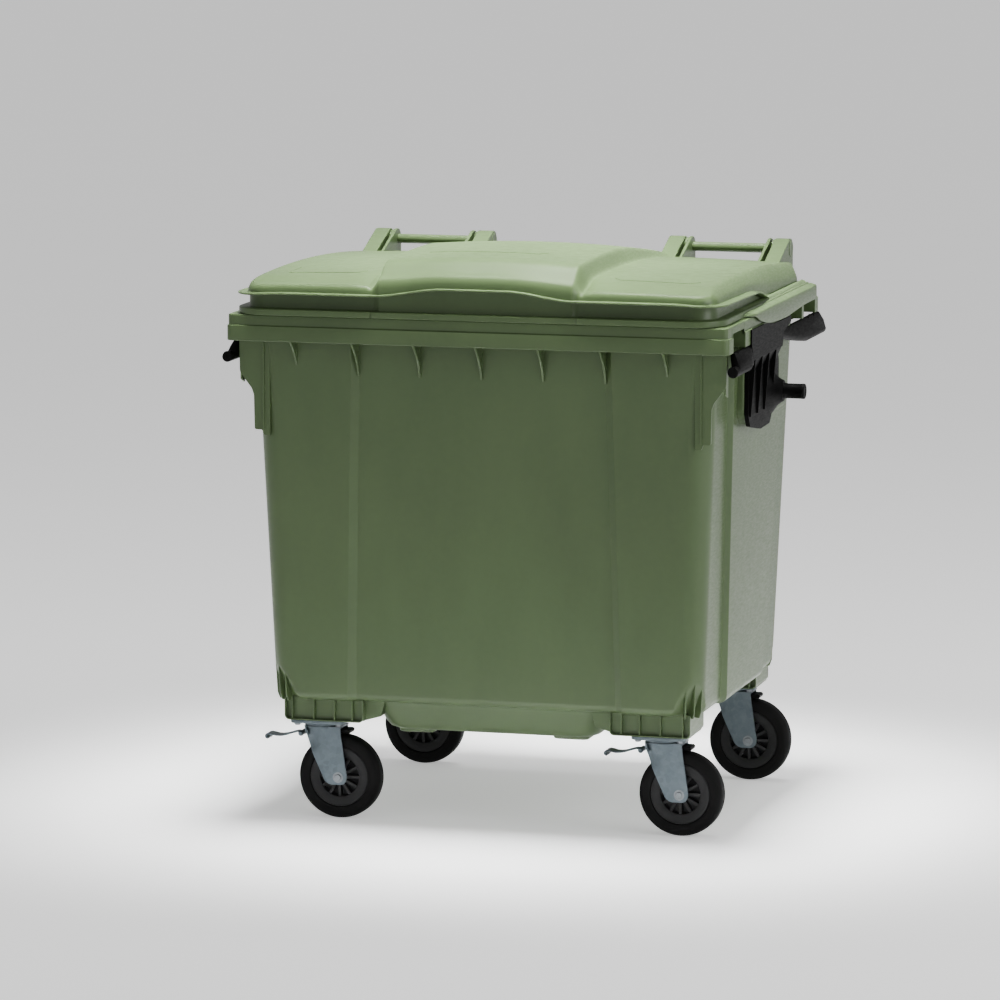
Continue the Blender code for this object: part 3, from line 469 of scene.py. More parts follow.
def tub_ring(z, inset=0.0, relief=1.0, level=None):
    """Outline of the tub at one height, with its recessed and proud panels."""
    half_x, front, back = tub_walls(z)
    half_x, front, back = half_x - inset, front + inset, back - inset
    wide = mix(*PANEL_HALF_X, tub_share(z))
    start = PROUD_FRONT + (PROUD_LEVEL - z) * PROUD_LEAN
    end = PROUD_ENDS - start
    proud = SIDE_PROUD * relief
    ease = 0.006
    ramp = 0.01
    near, far = [], []
    for side, points in ((-1, near), (1, far)):
        wall = front if side < 0 else back
        into = -side * PANEL_DEPTH * relief
        points += [(-wide, wall, ease), (-wide + PANEL_SLOPE, wall + into, ease),
                   (wide - PANEL_SLOPE, wall + into, ease), (wide, wall, ease)]
    right = [(half_x, start, ease), (half_x + proud, start + ramp, ease),
             (half_x + proud, end - ramp, ease), (half_x, end, ease)]
    left = [(-x, y, r) for x, y, r in reversed(right)]
    corners = [(-half_x, front, 0)] + near + [(half_x, front, 0)] + right
    corners += [(half_x, back, 0)] + list(reversed(far)) + [(-half_x, back, 0)] + left
    rounded = fillet(corners, 8)
    spots = corner_spots(max(0.004, TUB_RADIUS - inset), cut_reach(z) - CUT_PER_INSET * inset)
    turns = ([(a - half_x, front + b) for a, b in spots],
             [(half_x - b, front + a) for a, b in spots],
             [(half_x - a, back - b) for a, b in spots],
             [(b - half_x, back - a) for a, b in spots])
    outline = []
    for i in range(4):
        outline += turns[i] + rounded[(5 * i + 1) * 9:(5 * i + 5) * 9]
    height = z if level is None else level
    return [(x, y, height) for x, y in outline]


def floor_bend(low, radius, inset, degrees):
    """Outlines that round the tub's wall into its floor."""
    rings = []
    for angle in map(math.radians, degrees):
        z = low + radius * (1.0 - math.sin(angle))
        rings.append(tub_ring(z, inset + radius * (1.0 - math.cos(angle))))
    return rings


def tub_rings():
    """Outlines of the tub's outside, from its mouth down to its rounded bottom."""
    rings = [tub_ring(z) for z in (1.25, 1.23, 1.0, 0.8, 0.6, 0.45)]
    rings += [tub_ring(mix(SCOOP_TOP, 0.322, step / 12)) for step in range(13)]
    return rings + floor_bend(TUB_BOTTOM, FLOOR_ROUNDS[0], 0.0, range(0, 91, 15))


def loop_edges(bm, row):
    return [bm.edges.get((row[i], row[(i + 1) % len(row)])) for i in range(len(row))]


def build_tub():
    bm = bmesh.new()
    outer = tub_rings()
    floor = [tub_ring(TUB_BOTTOM, FLOOR_INSETS[0], FLOOR_RELIEF)]
    inner_floor = TUB_BOTTOM + TUB_WALL
    inner = [tub_ring(TUB_BOTTOM, FLOOR_INSETS[1], FLOOR_RELIEF, inner_floor)]
    inner += floor_bend(inner_floor, FLOOR_ROUNDS[1], TUB_WALL, range(90, -1, -15))
    for z in (0.345, 0.37, 0.385, 0.45, 0.6, 0.8, 1.0, 1.23, 1.25):
        inner.append(tub_ring(z, TUB_WALL))
    bottom = loft_into(bm, outer + floor, caps=False)
    top = loft_into(bm, inner, caps=False)
    skin(bm, bottom[0], top[-1])
    outside = [rounded_rectangle(x, f, b, SUMP_RADII[0], z) for x, f, b, z in SUMP_RINGS]
    inside = [rounded_rectangle(x - TUB_WALL, f + TUB_WALL, b - TUB_WALL, SUMP_RADII[1],
                                z + TUB_WALL) for x, f, b, z in SUMP_RINGS]
    out_rows = loft_into(bm, outside, caps=False)
    in_rows = loft_into(bm, inside, caps=False)
    for first, second in ((bottom[-1], out_rows[0]), (top[0], in_rows[0])):
        bmesh.ops.bridge_loops(bm, edges=loop_edges(bm, first) + loop_edges(bm, second))
    circles = []
    for row, height in ((out_rows[-1], SUMP_BOTTOM), (in_rows[-1], SUMP_BOTTOM + TUB_WALL)):
        hole = arc((0, DRAIN_Y), DRAIN_RADIUS, 0, 360, DRAIN_STEPS)[:-1]
        circle = [bm.verts.new((x, y, height)) for x, y in hole]
        edges = [bm.edges.new(pair) for pair in zip(circle, circle[1:] + circle[:1])]
        bmesh.ops.bridge_loops(bm, edges=loop_edges(bm, row) + edges)
        circles.append(circle)
    skin(bm, *circles)
    return piece(bm, "tub", GREEN, "container", 28, replaced=("bin_body",))


def build_corner_fins():
    """Upright fins that fill each scooped bottom corner out to the tub's own corner."""
    bm = bmesh.new()
    for side in (-1, 1):
        for front in (True, False):
            for degrees in (20, 45, 70):
                outline = []
                slant = math.cos(math.radians(degrees - 45))
                first_cut = 2 * TUB_RADIUS - TUB_RADIUS * math.sqrt(2) * slant
                share = (first_cut - SCOOP_CUT[1]) / (SCOOP_CUT[0] - SCOOP_CUT[1])
                top = mix(SCOOP_TOP, SCOOP_LOW, share) - 0.001
                angle = math.radians(degrees)
                away = Vector((math.cos(angle), math.sin(angle)))
                for z, reach in ((FIN_LOW, -0.006), (0.312, -0.001), (0.345, -0.0006),
                                 (top, -0.0008)):
                    outline.append((z, TUB_RADIUS + reach))
                for z in (top, FIN_LOW):
                    depth = (2 * TUB_RADIUS - cut_reach(z)) / math.sqrt(2) / slant
                    outline.append((z, depth - 0.003))
                across = Vector((-away.y, away.x)) * FIN_HALF
                rings = []
                for turn in (-1, 1):
                    ring = []
                    for z, reach in outline:
                        half_x, front_wall, back_wall = tub_walls(z)
                        wall = front_wall if front else back_wall
                        out_y = -1 if front else 1
                        spot = away * reach + across * turn
                        ring.append((side * (half_x - TUB_RADIUS + spot.x),
                                     wall - out_y * TUB_RADIUS + out_y * spot.y, z))
                    rings.append(ring)
                loft_into(bm, rings)
    return piece(bm, "corner_fins", GREEN, "container", bevel=0.001)


def rim_profile():
    """Half-section of the rim: (offset from its upper step, height)."""
    soft = 0.003
    step, low = RIM_STEP, RIM_BOTTOM
    profile = [(-soft + soft * math.sin(math.radians(a)),
                RIM_TOP - soft + soft * math.cos(math.radians(a))) for a in range(0, 91, 18)]
    profile += [(0.0, RIM_STEP_Z + 0.0016), (0.0006, RIM_STEP_Z + 0.0004),
                (step - 0.0014, RIM_STEP_Z - 0.0006), (step - 0.0003, RIM_STEP_Z - 0.0014),
                (step, RIM_STEP_Z - 0.0028), (step, low + 0.0012), (step - 0.001, low),
                (step - 0.003, low), (step - 0.004, low + 0.0012),
                (step - 0.004, RIM_STEP_Z - 0.007), (-0.005, RIM_STEP_Z - 0.003),
                (-0.005, RIM_TOP - 0.006)]
    return profile


def build_rim():
    """Downturned rim with its stepped skirt, open at the side pockets."""
    bm = bmesh.new()
    rings = []
    for offset, z in rim_profile():
        rings.append(rounded_rectangle(RIM_HALF_X + offset, RIM_FRONT - offset,
                                       RIM_BACK + offset, RIM_RADIUS + offset, z))
    half_x, front, back, radius = 0.564, -0.448, 0.418, 0.05
    for z, inset in ((RIM_TOP - 0.006, 0.0), (RIM_TOP - 0.002, 0.0), (RIM_TOP, -0.002)):
        rings.append(rounded_rectangle(half_x - inset, front + inset, back - inset, radius, z))
    loft_into(bm, rings + [rings[0]], caps=False)
    boxes = [side_box(side, (0.614, 0.63), pocket, (1.18, POCKET_TOP))
             for pocket in SKIRT_POCKETS for side in (-1, 1)]
    return piece(carve(bm, boxes), "rim", GREEN, "container", 25)


def build_pocket_walls():
    """Walls beside and behind each opening in the rim's side skirt."""
    bm = bmesh.new()
    for side in (-1, 1):
        for low, high in SKIRT_POCKETS:
            walls = [((0.59, 0.62), (y, y + 0.003), (RIM_BOTTOM + 0.001, RIM_TOP - 0.004))
                     for y in (low - 0.003, high)]
            walls += [((0.59, 0.62), (low, high), (POCKET_TOP, POCKET_TOP + 0.003)),
                      ((0.588, 0.594), (low, high), (RIM_BOTTOM - 0.004, RIM_TOP - 0.004))]
            for wall in walls:
                box_into(bm, *side_box(side, *wall))
    return piece(bm, "pocket_walls", GREEN, "container", bevel=0.0007)


def build_ribs():
    """Gussets between the rim's skirt and the front and back walls."""
    bm = bmesh.new()
    for side in (-1, 1):
        edge = RIM_FRONT if side < 0 else RIM_BACK
        rim, step_edge = edge + side * 0.0015, edge - side * 0.003
        wall = -0.47 if side < 0 else 0.44
        for i in range(RIB_COUNT):
            x = (i - (RIB_COUNT - 1) / 2) * RIB_PITCH
            outline = [(rim, RIM_BOTTOM + 0.0015)]
            for step in range(1, 7):
                share = step / 6
                sag = 0.01 * math.sin(math.pi * share)
                outline.append((mix(rim, wall - side * 0.0125, share) - side * sag,
                                mix(RIM_BOTTOM + 0.0015, RIB_TIP, share)))
            outline += [(wall - side * 0.016, RIB_TIP), (wall - side * 0.016, RIM_TOP - 0.004),
                        (step_edge, RIM_TOP - 0.004), (step_edge, RIM_STEP_Z - 0.004),
                        (rim, RIM_STEP_Z - 0.004)]
            prism_into(bm, outline, "X", x - RIB_HALF, x + RIB_HALF)
    return piece(bm, "rim_gussets", GREEN, "container", bevel=0.001)


def build_wings():
    """Webs that carry the rim past the front corners, each with a thin upright rib."""
    bm = bmesh.new()
    outline = fillet([(0.53, 1.245, 0), (0.53, 0.955, 0.001), (0.545, 0.955, 0.004),
                      (0.55, 0.968, 0.004), (0.569, 0.968, 0.006), (0.5705, 1.053, 0.02),
                      (0.576, 1.069, 0.02), (0.606, 1.108, 0.02), (0.607, 1.188, 0.002),
                      (0.619, 1.193, 0.002), (0.619, 1.245, 0)], 4)
    for side in (-1, 1):
        prism_into(bm, sided(side, outline), "Y", -0.466, -0.459)
        start, end = span(side, 0.543, 0.547)
        rib = [(start, 0.97), (end, 0.97), (end, 1.195), (start, 1.195)]
        prism_into(bm, rib, "Y", -0.47, -0.46)
        fin = fillet([(-0.464, 1.09, 0.002), (-0.44, 1.08, 0.002), (-0.44, 1.24, 0),
                      (-0.464, 1.24, 0)], 3)
        prism_into(bm, fin, "X", *span(side, 0.601, 0.605))
    return piece(bm, "corner_webs", GREEN, "container", bevel=0.001)


def build_pads():
    """Raised pads on the side walls, behind the trunnion brackets."""
    bm = bmesh.new()
    outline = fillet([(PAD_Y[0], 1.23, 0), (PAD_Y[0] - 0.003, 1.015, 0.04),
                      (PAD_Y[0] + 0.045, 0.985, 0.03), (0.2, 0.985, 0.03),
                      (PAD_Y[1], 1.02, 0.04), (PAD_Y[1], 1.23, 0)], 8)
    for side in (-1, 1):
        prism_into(bm, outline, "X", *span(side, 0.57, 0.6))
    return piece(bm, "bracket_pads", GREEN, "container", bevel=0.004, segments=4)


def block_band(middle, half):
    """Front view of a block's outer wall: a U with rounded lower corners."""
    left, right, low = middle - half, middle + half, BLOCK_BOTTOM + BLOCK_ROUND
    outer = [(left, BLOCK_TOP)] + arc((left + BLOCK_ROUND, low), BLOCK_ROUND, 180, 270, 8)
    outer += arc((right - BLOCK_ROUND, low), BLOCK_ROUND, 270, 360, 8) + [(right, BLOCK_TOP)]
    inner = [(right - BLOCK_WALL, BLOCK_TOP)]
    inner += arc((right - BLOCK_ROUND, low), BLOCK_INNER_ROUND, 360, 270, 8)
    inner += arc((left + BLOCK_ROUND, low), BLOCK_INNER_ROUND, 270, 180, 8)
    inner.append((left + BLOCK_WALL, BLOCK_TOP))
    return outer + inner


def build_blocks():
    """Ribbed blocks under the corners that take the caster plates."""
    bm = bmesh.new()
    for side in (-1, 1):
        for end, y in CASTER_Y.items():
            front, back = y - 0.056, y + 0.056
            if end == "front":
                back = front + BLOCK_DEPTH
            else:
                front = back - BLOCK_DEPTH
            middle = side * (BLOCK_X[0] + BLOCK_X[1]) / 2
            half = (BLOCK_X[1] - BLOCK_X[0]) / 2
            prism_into(bm, block_band(middle, half), "Y", front, back)
            box_into(bm, (middle - half + 0.002, front + 0.013, BLOCK_BOTTOM + 0.002),
                     (middle + half - 0.002, back - 0.013, 0.304))
            for share in BLOCK_RIBS:
                x = side * mix(BLOCK_X[1], BLOCK_X[0], share)
                box_into(bm, (x - 0.0016, front + 0.001, BLOCK_BOTTOM + 0.002),
                         (x + 0.0016, back - 0.001, 0.3035))
    return piece(bm, "caster_blocks", GREEN, "container", bevel=0.0006)


def build_skids():
    """Pads under the sump and the webs that tie it to the caster blocks."""
    bm = bmesh.new()
    for side in (-1, 1):
        rings = []
        for z, inset in ((0.218, 0.004), (0.2195, 0.001), (0.222, 0.0), (0.23, 0.0)):
            ring = rounded_rectangle(0.045 - inset, -0.35 + inset, -0.29 - inset, 0.012, z)
            rings.append([(x + side * 0.195, y, w) for x, y, w in ring])
        loft_into(bm, rings)
        for y in (-0.4, 0.29):
            web = fillet(sided(side, [(0.312, 0.25, 0), (0.312, 0.301, 0), (0.26, 0.301, 0),
                                      (0.27, 0.262, 0.004)]), 3)
            prism_into(bm, web, "Y", y, y + 0.1)
    return piece(bm, "skids_and_webs", GREEN, "container", bevel=0.001)


def lug_outline():
    outline = [(RIM_BACK - 0.004, RIM_BOTTOM + 0.004), (HINGE_Y + 0.01, RIM_BOTTOM + 0.004)]
    outline += arc((HINGE_Y, HINGE_Z), 0.0225, -5, 185, 24)
    return outline + [(HINGE_Y - 0.0225, RIM_TOP + 0.003), (RIM_BACK - 0.004, RIM_TOP - 0.003)]


def build_lugs():
    """Ears on the back of the rim that hold the hinge bars, with a gusset on each side of every
    ear.
    """
    bm = bmesh.new()
    for side in (-1, 1):
        for low, high in LUG_X:
            prism_into(bm, lug_outline(), "X", *span(side, low, high))
            middle = (low + high) / 2
            for x in (side * (middle - 0.011), side * (middle + 0.011)):
                web = [(RIM_BACK - 0.002, RIM_BOTTOM + 0.006),
                       (RIM_BACK + 0.016, RIM_BOTTOM + 0.006),
                       (RIM_BACK + 0.004, RIM_TOP - 0.002), (RIM_BACK - 0.002, RIM_TOP - 0.002)]
                prism_into(bm, web, "X", x - 0.0015, x + 0.0015)
    return piece(bm, "hinge_lugs", GREEN, "container", bevel=0.001)


for build in (build_tub, build_corner_fins, build_rim, build_pocket_walls, build_ribs,
              build_wings, build_pads, build_blocks, build_skids, build_lugs):
    build()

# ---- lid ------------------------------------------------------------------------------
def edge_distance(x, y):
    """How far a point lies inside the crown's rounded outline."""
    middle = (LID_FRONT + LID_BACK) / 2
    half_y = (LID_BACK - LID_FRONT) / 2
    dx = abs(x) - (LID_HALF_X - LID_RADIUS)
    dy = abs(y - middle) - (half_y - LID_RADIUS)
    outside = math.hypot(max(dx, 0.0), max(dy, 0.0)) + min(max(dx, dy), 0.0)
    return LID_RADIUS - outside


def handle_share(y):
    """1 where the lid's edge is a full handle flange, 0 where it lies down."""
    return 1.0 - smooth_step(-0.14, 0.16, y)


def flange_height(x, y):
    """Height of the handle flange: arched at the front, lower towards the sides' back."""
    arch = FLANGE_ARCH * (1.0 - smooth_step(0.08, 0.25, abs(x)))
    drop = (0.0045 + 0.011 * max(0.0, y + 0.43)) * smooth_step(0.48, 0.585, abs(x))
    return LID_FLANGE_Z + arch * (1.0 - smooth_step(-0.4, -0.3, y)) - drop


def crown_base(x, y):
    """Height where the crown meets the lid's edge."""
    return mix(LID_SEAT + 0.013, flange_height(x, y) + 0.001, handle_share(y))


def round_edge(x, y, width):
    """Quarter-round rise from 0 on the crown's edge to 1 at a given width inside it."""
    short = 1.0 - min(1.0, max(0.0, edge_distance(x, y)) / width)
    return math.sqrt(1.0 - short * short)


def crown_shoulder(x, y):
    """0 on the crown's edge and 1 inside it: a tight round edge, then a slower rise."""
    gentle = min(smooth_step(0.004, 0.026, LID_HALF_X - abs(x)),
                 smooth_step(0.01, 0.09, y - LID_FRONT),
                 smooth_step(0.006, 0.03, LID_BACK - y))
    return 0.6 * round_edge(x, y, CROWN_ROUND) + 0.4 * gentle


def lid_height(x, y):
    """Height of the lid's top: a shallow pillow with a hump along its middle."""
    base = crown_base(x, y)
    shoulder = crown_shoulder(x, y)
    crown = LID_TOP - CROWN_FALL[1] * (y - CROWN_PEAK_Y) ** 2 - CROWN_FALL[0] * x * x
    hump = HUMP_HEIGHT - HUMP_FALL[0] * x * x - HUMP_FALL[1] * max(0.0, y - HUMP_LEVEL_Y)
    wall = 1.0 - smooth_step(HUMP_SIDE[0], HUMP_SIDE[1], abs(x))
    rise = 0.45 * round_edge(x, y, HUMP_ROUND)
    rise += 0.55 * smooth_step(0.01, 0.072, edge_distance(x, y))
    groove = GROOVE_DEPTH * math.exp(-((abs(x) - GROOVE_X) / 0.01) ** 2)
    groove *= (1.0 - smooth_step(-0.46, -0.38, y)) * shoulder
    return base + (crown - base) * shoulder + hump * wall * rise - groove


def front_pride(x, y):
    """How far the lid's middle stands forward of its two sides, at the front edge."""
    across = 1.0 - smooth_step(0.238, 0.254, abs(x))
    return FRONT_PRIDE * across * (1.0 - smooth_step(-0.48, -0.4, y))


def crown_point(u, v, inset):
    """Maps a square grid onto the crown's rounded plan and lifts it."""
    middle = (LID_FRONT + LID_BACK) / 2
    half_y = (LID_BACK - LID_FRONT) / 2
    radius = LID_RADIUS - inset
    s = (abs(u) - (LID_HALF_X - LID_RADIUS)) / radius
    t = (abs(v) - (half_y - LID_RADIUS)) / radius
    x, y = u, v
    if s > 0 and t > 0:
        x = math.copysign(LID_HALF_X - LID_RADIUS + radius * s * math.sqrt(1 - t * t / 2), u)
        y = math.copysign(half_y - LID_RADIUS + radius * t * math.sqrt(1 - s * s / 2), v)
    y += middle
    z = lid_height(x, y)
    if inset:
        shrink = 0.985
        z = min(z, lid_height(x * shrink, (y - middle) * shrink + middle)) - LID_WALL
    return Vector((x, y - front_pride(x, y), z))


def grid_lines(half, details):
    """Grid positions from -half to half, close together at the border and details."""
    positive = [half - step for step in BORDER_STEPS] + list(details)
    positive = sorted(value for value in positive if value > 0)
    return [-value for value in reversed(positive)] + [0.0] + positive


def lid_grid(bm, inset):
    half_y = (LID_BACK - LID_FRONT) / 2 - inset
    wall = [mix(HUMP_SIDE[0] - 0.012, HUMP_SIDE[1] + 0.012, i / 15) for i in range(16)]
    columns = grid_lines(LID_HALF_X - inset, [0.03, 0.06, 0.09, 0.12, 0.15, 0.18, 0.205] + wall
                         + [0.3, 0.33, 0.36, 0.39, 0.42, 0.45])
    rows = grid_lines(half_y, [0.028 * i for i in range(1, 14)])
    return [[bm.verts.new(crown_point(u, v, inset)) for u in columns] for v in rows]


def grid_border(verts):
    border = list(verts[0]) + [row[-1] for row in verts[1:]]
    return border + list(reversed(verts[-1][:-1])) + [row[0] for row in reversed(verts[1:-1])]


def edge_profile(x, y, pride):
    """(outward distance, height) of the lid's edge, from the flange down to the seat."""
    handle = handle_share(y)
    base = crown_base(x, y)
    reach = mix(0.008, 0.0245 - pride, handle)
    tuck = mix(0.007, -0.004, handle)
    lip = mix(0.011, 0.022, handle) - pride * handle
    top = mix(LID_SEAT + 0.012, base, handle)
    thick = mix(0.0026, 0.005, handle)
    low = mix(LID_SEAT + 0.005, LID_SEAT + 0.016, handle)
    return ((mix(0.002, 0.0012, handle), mix(base, base - 0.0006, handle)),
            (mix(0.0045, 0.004, handle), mix(top, top - 0.0012, handle)),
            (reach - 0.0035, top - 0.0006), (reach - 0.0016, top - 0.0002),
            (reach - 0.0004, top - 0.0012), (reach, top - 0.0026),
            (reach - 0.0006, top - thick + 0.0008), (reach - 0.002, top - thick),
            (tuck + 0.0015, top - thick - 0.0006), (tuck, top - thick - 0.0022),
            (tuck, low + 0.002), (tuck + 0.0012, low + 0.0003), (lip - 0.0016, low - 0.0008),
            (lip - 0.0003, low - 0.002), (lip, low - 0.0036), (lip, LID_SEAT + 0.0012),
            (lip - 0.0012, LID_SEAT))


def build_lid_shell():
    """Crown, edge flange and seat lip as one hollow cover, open below."""
    bm = bmesh.new()
    skins = (lid_grid(bm, 0.0), lid_grid(bm, INNER_INSET))
    for verts in skins:
        for lower, upper in zip(verts, verts[1:]):
            skin(bm, lower, upper, closed=False)
    outer, inner = (grid_border(verts) for verts in skins)
    count = len(outer)
    places = [corner.co.copy() for corner in outer]
    columns = []
    for i, place in enumerate(places):
        along = places[(i + 1) % count] - places[i - 1]
        outward = Vector((along.y, -along.x, 0)).normalized()
        pride = front_pride(place.x, place.y)
        spots = edge_profile(place.x, place.y + pride, pride)
        columns.append([Vector((place.x, place.y, z)) + outward * out for out, z in spots])
    rings = [outer]
    for step in range(len(columns[0])):
        rings.append([bm.verts.new(column[step]) for column in columns])
    rings.append([bm.verts.new((corner.co.x, corner.co.y, LID_SEAT)) for corner in inner])
    rings.append(inner)
    for upper, lower in zip(rings, rings[1:]):
        for i in range(count):
            j = (i + 1) % count
            bm.faces.new((upper[i], lower[i], lower[j], upper[j]))
    return piece(bm, "lid_shell", GREEN, "lid", 42, replaced=("lid",))


def build_embossing():
    """Fine raised lines on the crown: one on each side panel and one on the hump."""
    bm = bmesh.new()
    for path in EMBOSSED_LINES:
        spots = []
        for (x0, y0), (x1, y1) in zip(path, path[1:]):
            steps = max(2, int(math.hypot(x1 - x0, y1 - y0) / 0.01))
            spots += [(mix(x0, x1, i / steps), mix(y0, y1, i / steps)) for i in range(steps)]
        spots.append(path[-1])
        rings = []
        for i, (x, y) in enumerate(spots):
            before = spots[max(0, i - 1)]
            after = spots[min(len(spots) - 1, i + 1)]
            across = Vector((after[1] - before[1], before[0] - after[0])).normalized()
            ring = []
            for out, up in ((-0.0022, -0.0015), (-0.001, 0.0013), (0.001, 0.0013),
                            (0.0022, -0.0015)):
                v, w = x + across.x * out, y + across.y * out
                ring.append((v, w, lid_height(v, w) + up))
            rings.append(ring)
        loft_into(bm, rings)
    return piece(bm, "lid_embossed_lines", GREEN, "lid", 60)


def arm_outline():
    """Side view of a hinge arm: a ramp off the lid, then a round end."""
    outline = [(0.345, 1.306), (0.435, 1.285), (0.46, 1.269), (0.474, 1.264),
               (0.525, 1.264), (0.5365, 1.276)]
    outline += arc((HINGE_Y, HINGE_Z), HINGE_RADIUS, 0, 90, 16)
    return outline + [(0.495, HINGE_Z + HINGE_RADIUS), (0.345, 1.3121)]


def build_arms():
    """Hinge arms and plates at the lid's back edge."""
    for side, tag in SIDES:
        bm = bmesh.new()
        for low, high in LID_ARMS + LID_PLATES:
            prism_into(bm, arm_outline(), "X", *span(side, low, high))
        piece(bm, "hinge_arms_" + tag, GREEN, "lid", bevel=0.0022, segments=3)
        bm = bmesh.new()
        for low, high in LID_ARMS:
            for x, out in ((low, -1), (high, 1)):
                place = Matrix.Translation((side * x, HINGE_Y, HINGE_Z))
                place = place @ Matrix.Rotation(side * out * math.pi / 2, 4, "Y")
                turned_into(bm, [(0, 0.0006), (0.015, 0.0006), (0.018, 0.0012),
                                 (0.0205, 0.0012), (0.0215, -0.001), (0, -0.001)], 32, place)
        piece(bm, "hinge_discs_" + tag, GREEN, "lid")


def apron_low(y):
    """Height of the apron's curved lower edge."""
    for (y0, z0), (y1, z1) in zip(APRON_EDGE, APRON_EDGE[1:]):
        if y <= y1:
            return mix(z0, z1, max(0.0, (y - y0) / (y1 - y0)))
    return APRON_EDGE[-1][1]


def build_aprons():
    """Curved flaps of the lid that hang over the rim's sides."""
    start, end, stations = APRON_EDGE[0][0], APRON_EDGE[-1][0], 77
    for side, tag in SIDES:
        bm = bmesh.new()
        rings = []
        for i in range(stations + 1):
            y = mix(start, end, i / stations)
            out = mix(*APRON_OUT, smooth_step(*APRON_RUN_OUT, y))
            around = [min(max(start, y + shift), end) for shift in (-0.02, -0.01, 0, 0.01, 0.02)]
            low = sum(apron_low(v) for v in around) / 5
            if out < APRON_OUT[1]:
                low = max(low, 1.2558)
            seat = max(1.256, low + 0.001)
            section = ((out - 0.038, seat), (out - 0.0042, seat), (out - 0.0042, low + 0.0009),
                       (out - 0.0034, low), (out - 0.0008, low), (out, low + 0.001),
                       (out, 1.259), (out - 0.0008, 1.2612), (out - 0.0025, 1.2628),
                       (out - 0.016, 1.2668), (out - 0.0174, 1.2652), (out - 0.02, 1.2656),
                       (out - 0.0214, 1.2684), (out - 0.024, 1.2692), (out - 0.0252, 1.2676),
                       (out - 0.0276, 1.2682), (out - 0.0295, 1.2712), (out - 0.038, 1.2745))
            rings.append([(side * x, y, z) for x, z in section])
        loft_into(bm, rings)
        piece(bm, "lid_apron_" + tag, GREEN, "lid", 40)


for build in (build_lid_shell, build_embossing, build_arms, build_aprons):
    build()


# ---- hinge bars and side fittings -----------------------------------------------------
def build_bars():
    """Round bars that the lid turns on."""
    for side, tag in SIDES:
        bm = bmesh.new()
        tube_into(bm, (side * 0.2403, HINGE_Y, HINGE_Z), (side * 0.5387, HINGE_Y, HINGE_Z),
                  BAR_RADIUS, 40)
        piece(bm, "hinge_rod_" + tag, GREEN, "container", replaced=("hinge_bar_" + tag,))


def build_brackets():
    """Moulded trunnion brackets with the boss that holds the lifting stub."""
    outline = fillet([(-0.245, 1.19, 0.001), (-0.25, 1.015, 0.03), (-0.23, 0.985, 0.016),
                      (-0.11, 0.9655, 0.01), (-0.014, 0.9675, 0.014), (0.018, 0.997, 0.014),
                      (0.085, 1.012, 0.014), (0.085, 1.115, 0.02), (0.062, 1.15, 0.02),
                      (0.08, 1.19, 0.001)], 5)
    # painted shade: this thin black plate on the rim's side has its top edge drawn along the dark
    # shade in the rim's cavity under the lid's apron
    cover = fillet([(-0.286, 1.2265, 0.002), (-0.286, 1.19, 0.002), (-0.264, 1.15, 0.006),
                    (0.055, 1.15, 0.006), (0.07, 1.185, 0.01), (0.15, 1.2, 0.004),
                    (0.15, 1.2155, 0.002), (0.106, 1.215, 0.002), (-0.03, 1.2165, 0.01),
                    (-0.112, 1.224, 0.02), (-0.15, 1.2265, 0.01)], 4)
    for side, tag in SIDES:
        bm = bmesh.new()
        prism_into(bm, outline, "X", *span(side, 0.6003, 0.611))
        prism_into(bm, cover, "X", *span(side, 0.6236, 0.6272))
        neck = [(0.604, 1.13), (0.611, 1.12), (0.6266, 1.156), (0.6266, 1.184), (0.6232, 1.188),
                (0.606, 1.188)]
        prism_into(bm, sided(side, neck), "Y", -0.244, 0.06)
        for y in (-0.24, -0.162, -0.086, -0.01):
            web = [(0.604, 1.19), (0.6105, 1.01), (0.615, 1.01), (0.6262, 1.155), (0.6262, 1.19)]
            prism_into(bm, sided(side, web), "Y", y, y + 0.005)
        rings = []
        for x, half_y, half_z, centre in ((0.607, 0.088, 0.056, 0.004), (0.611, 0.08, 0.05, 0.01),
                                          (0.615, 0.066, 0.042, 0.022), (0.62, 0.046, 0.034, 0.037),
                                          (0.626, 0.032, 0.029, 0.046),
                                          (0.631, 0.0265, 0.0265, TRUNNION_Y),
                                          (0.6322, 0.025, 0.025, TRUNNION_Y)):
            rings.append([(side * x, centre + half_y * math.cos(math.tau * i / 48),
                           TRUNNION_Z + half_z * math.sin(math.tau * i / 48)) for i in range(48)])
        loft_into(bm, rings)
        piece(bm, "trunnion_mount_" + tag, BLACK, "container", bevel=0.0014,
              replaced=("trunnion_bracket_" + tag,))
        bm = bmesh.new()
        place = Matrix.Translation((0, TRUNNION_Y, TRUNNION_Z))
        place = place @ Matrix.Rotation(side * math.pi / 2, 4, "Y")
        radius, tip = TRUNNION_RADIUS, TRUNNION_TIP
        turned_into(bm, [(0, 0.6113), (radius, 0.6113), (radius, 0.64), (radius - 0.0004, 0.641),
                         (radius - 0.0004, tip - 0.01), (radius, tip - 0.009),
                         (radius, tip - 0.0025), (radius - 0.0007, tip - 0.0008),
                         (radius - 0.0025, tip), (radius - 0.006, tip),
                         (radius - 0.007, tip - 0.0012), (0, tip - 0.0012)], 48, place)
        piece(bm, "lifting_stub_" + tag, BLACK, "container",
              replaced=("trunnion_pin_" + tag,))


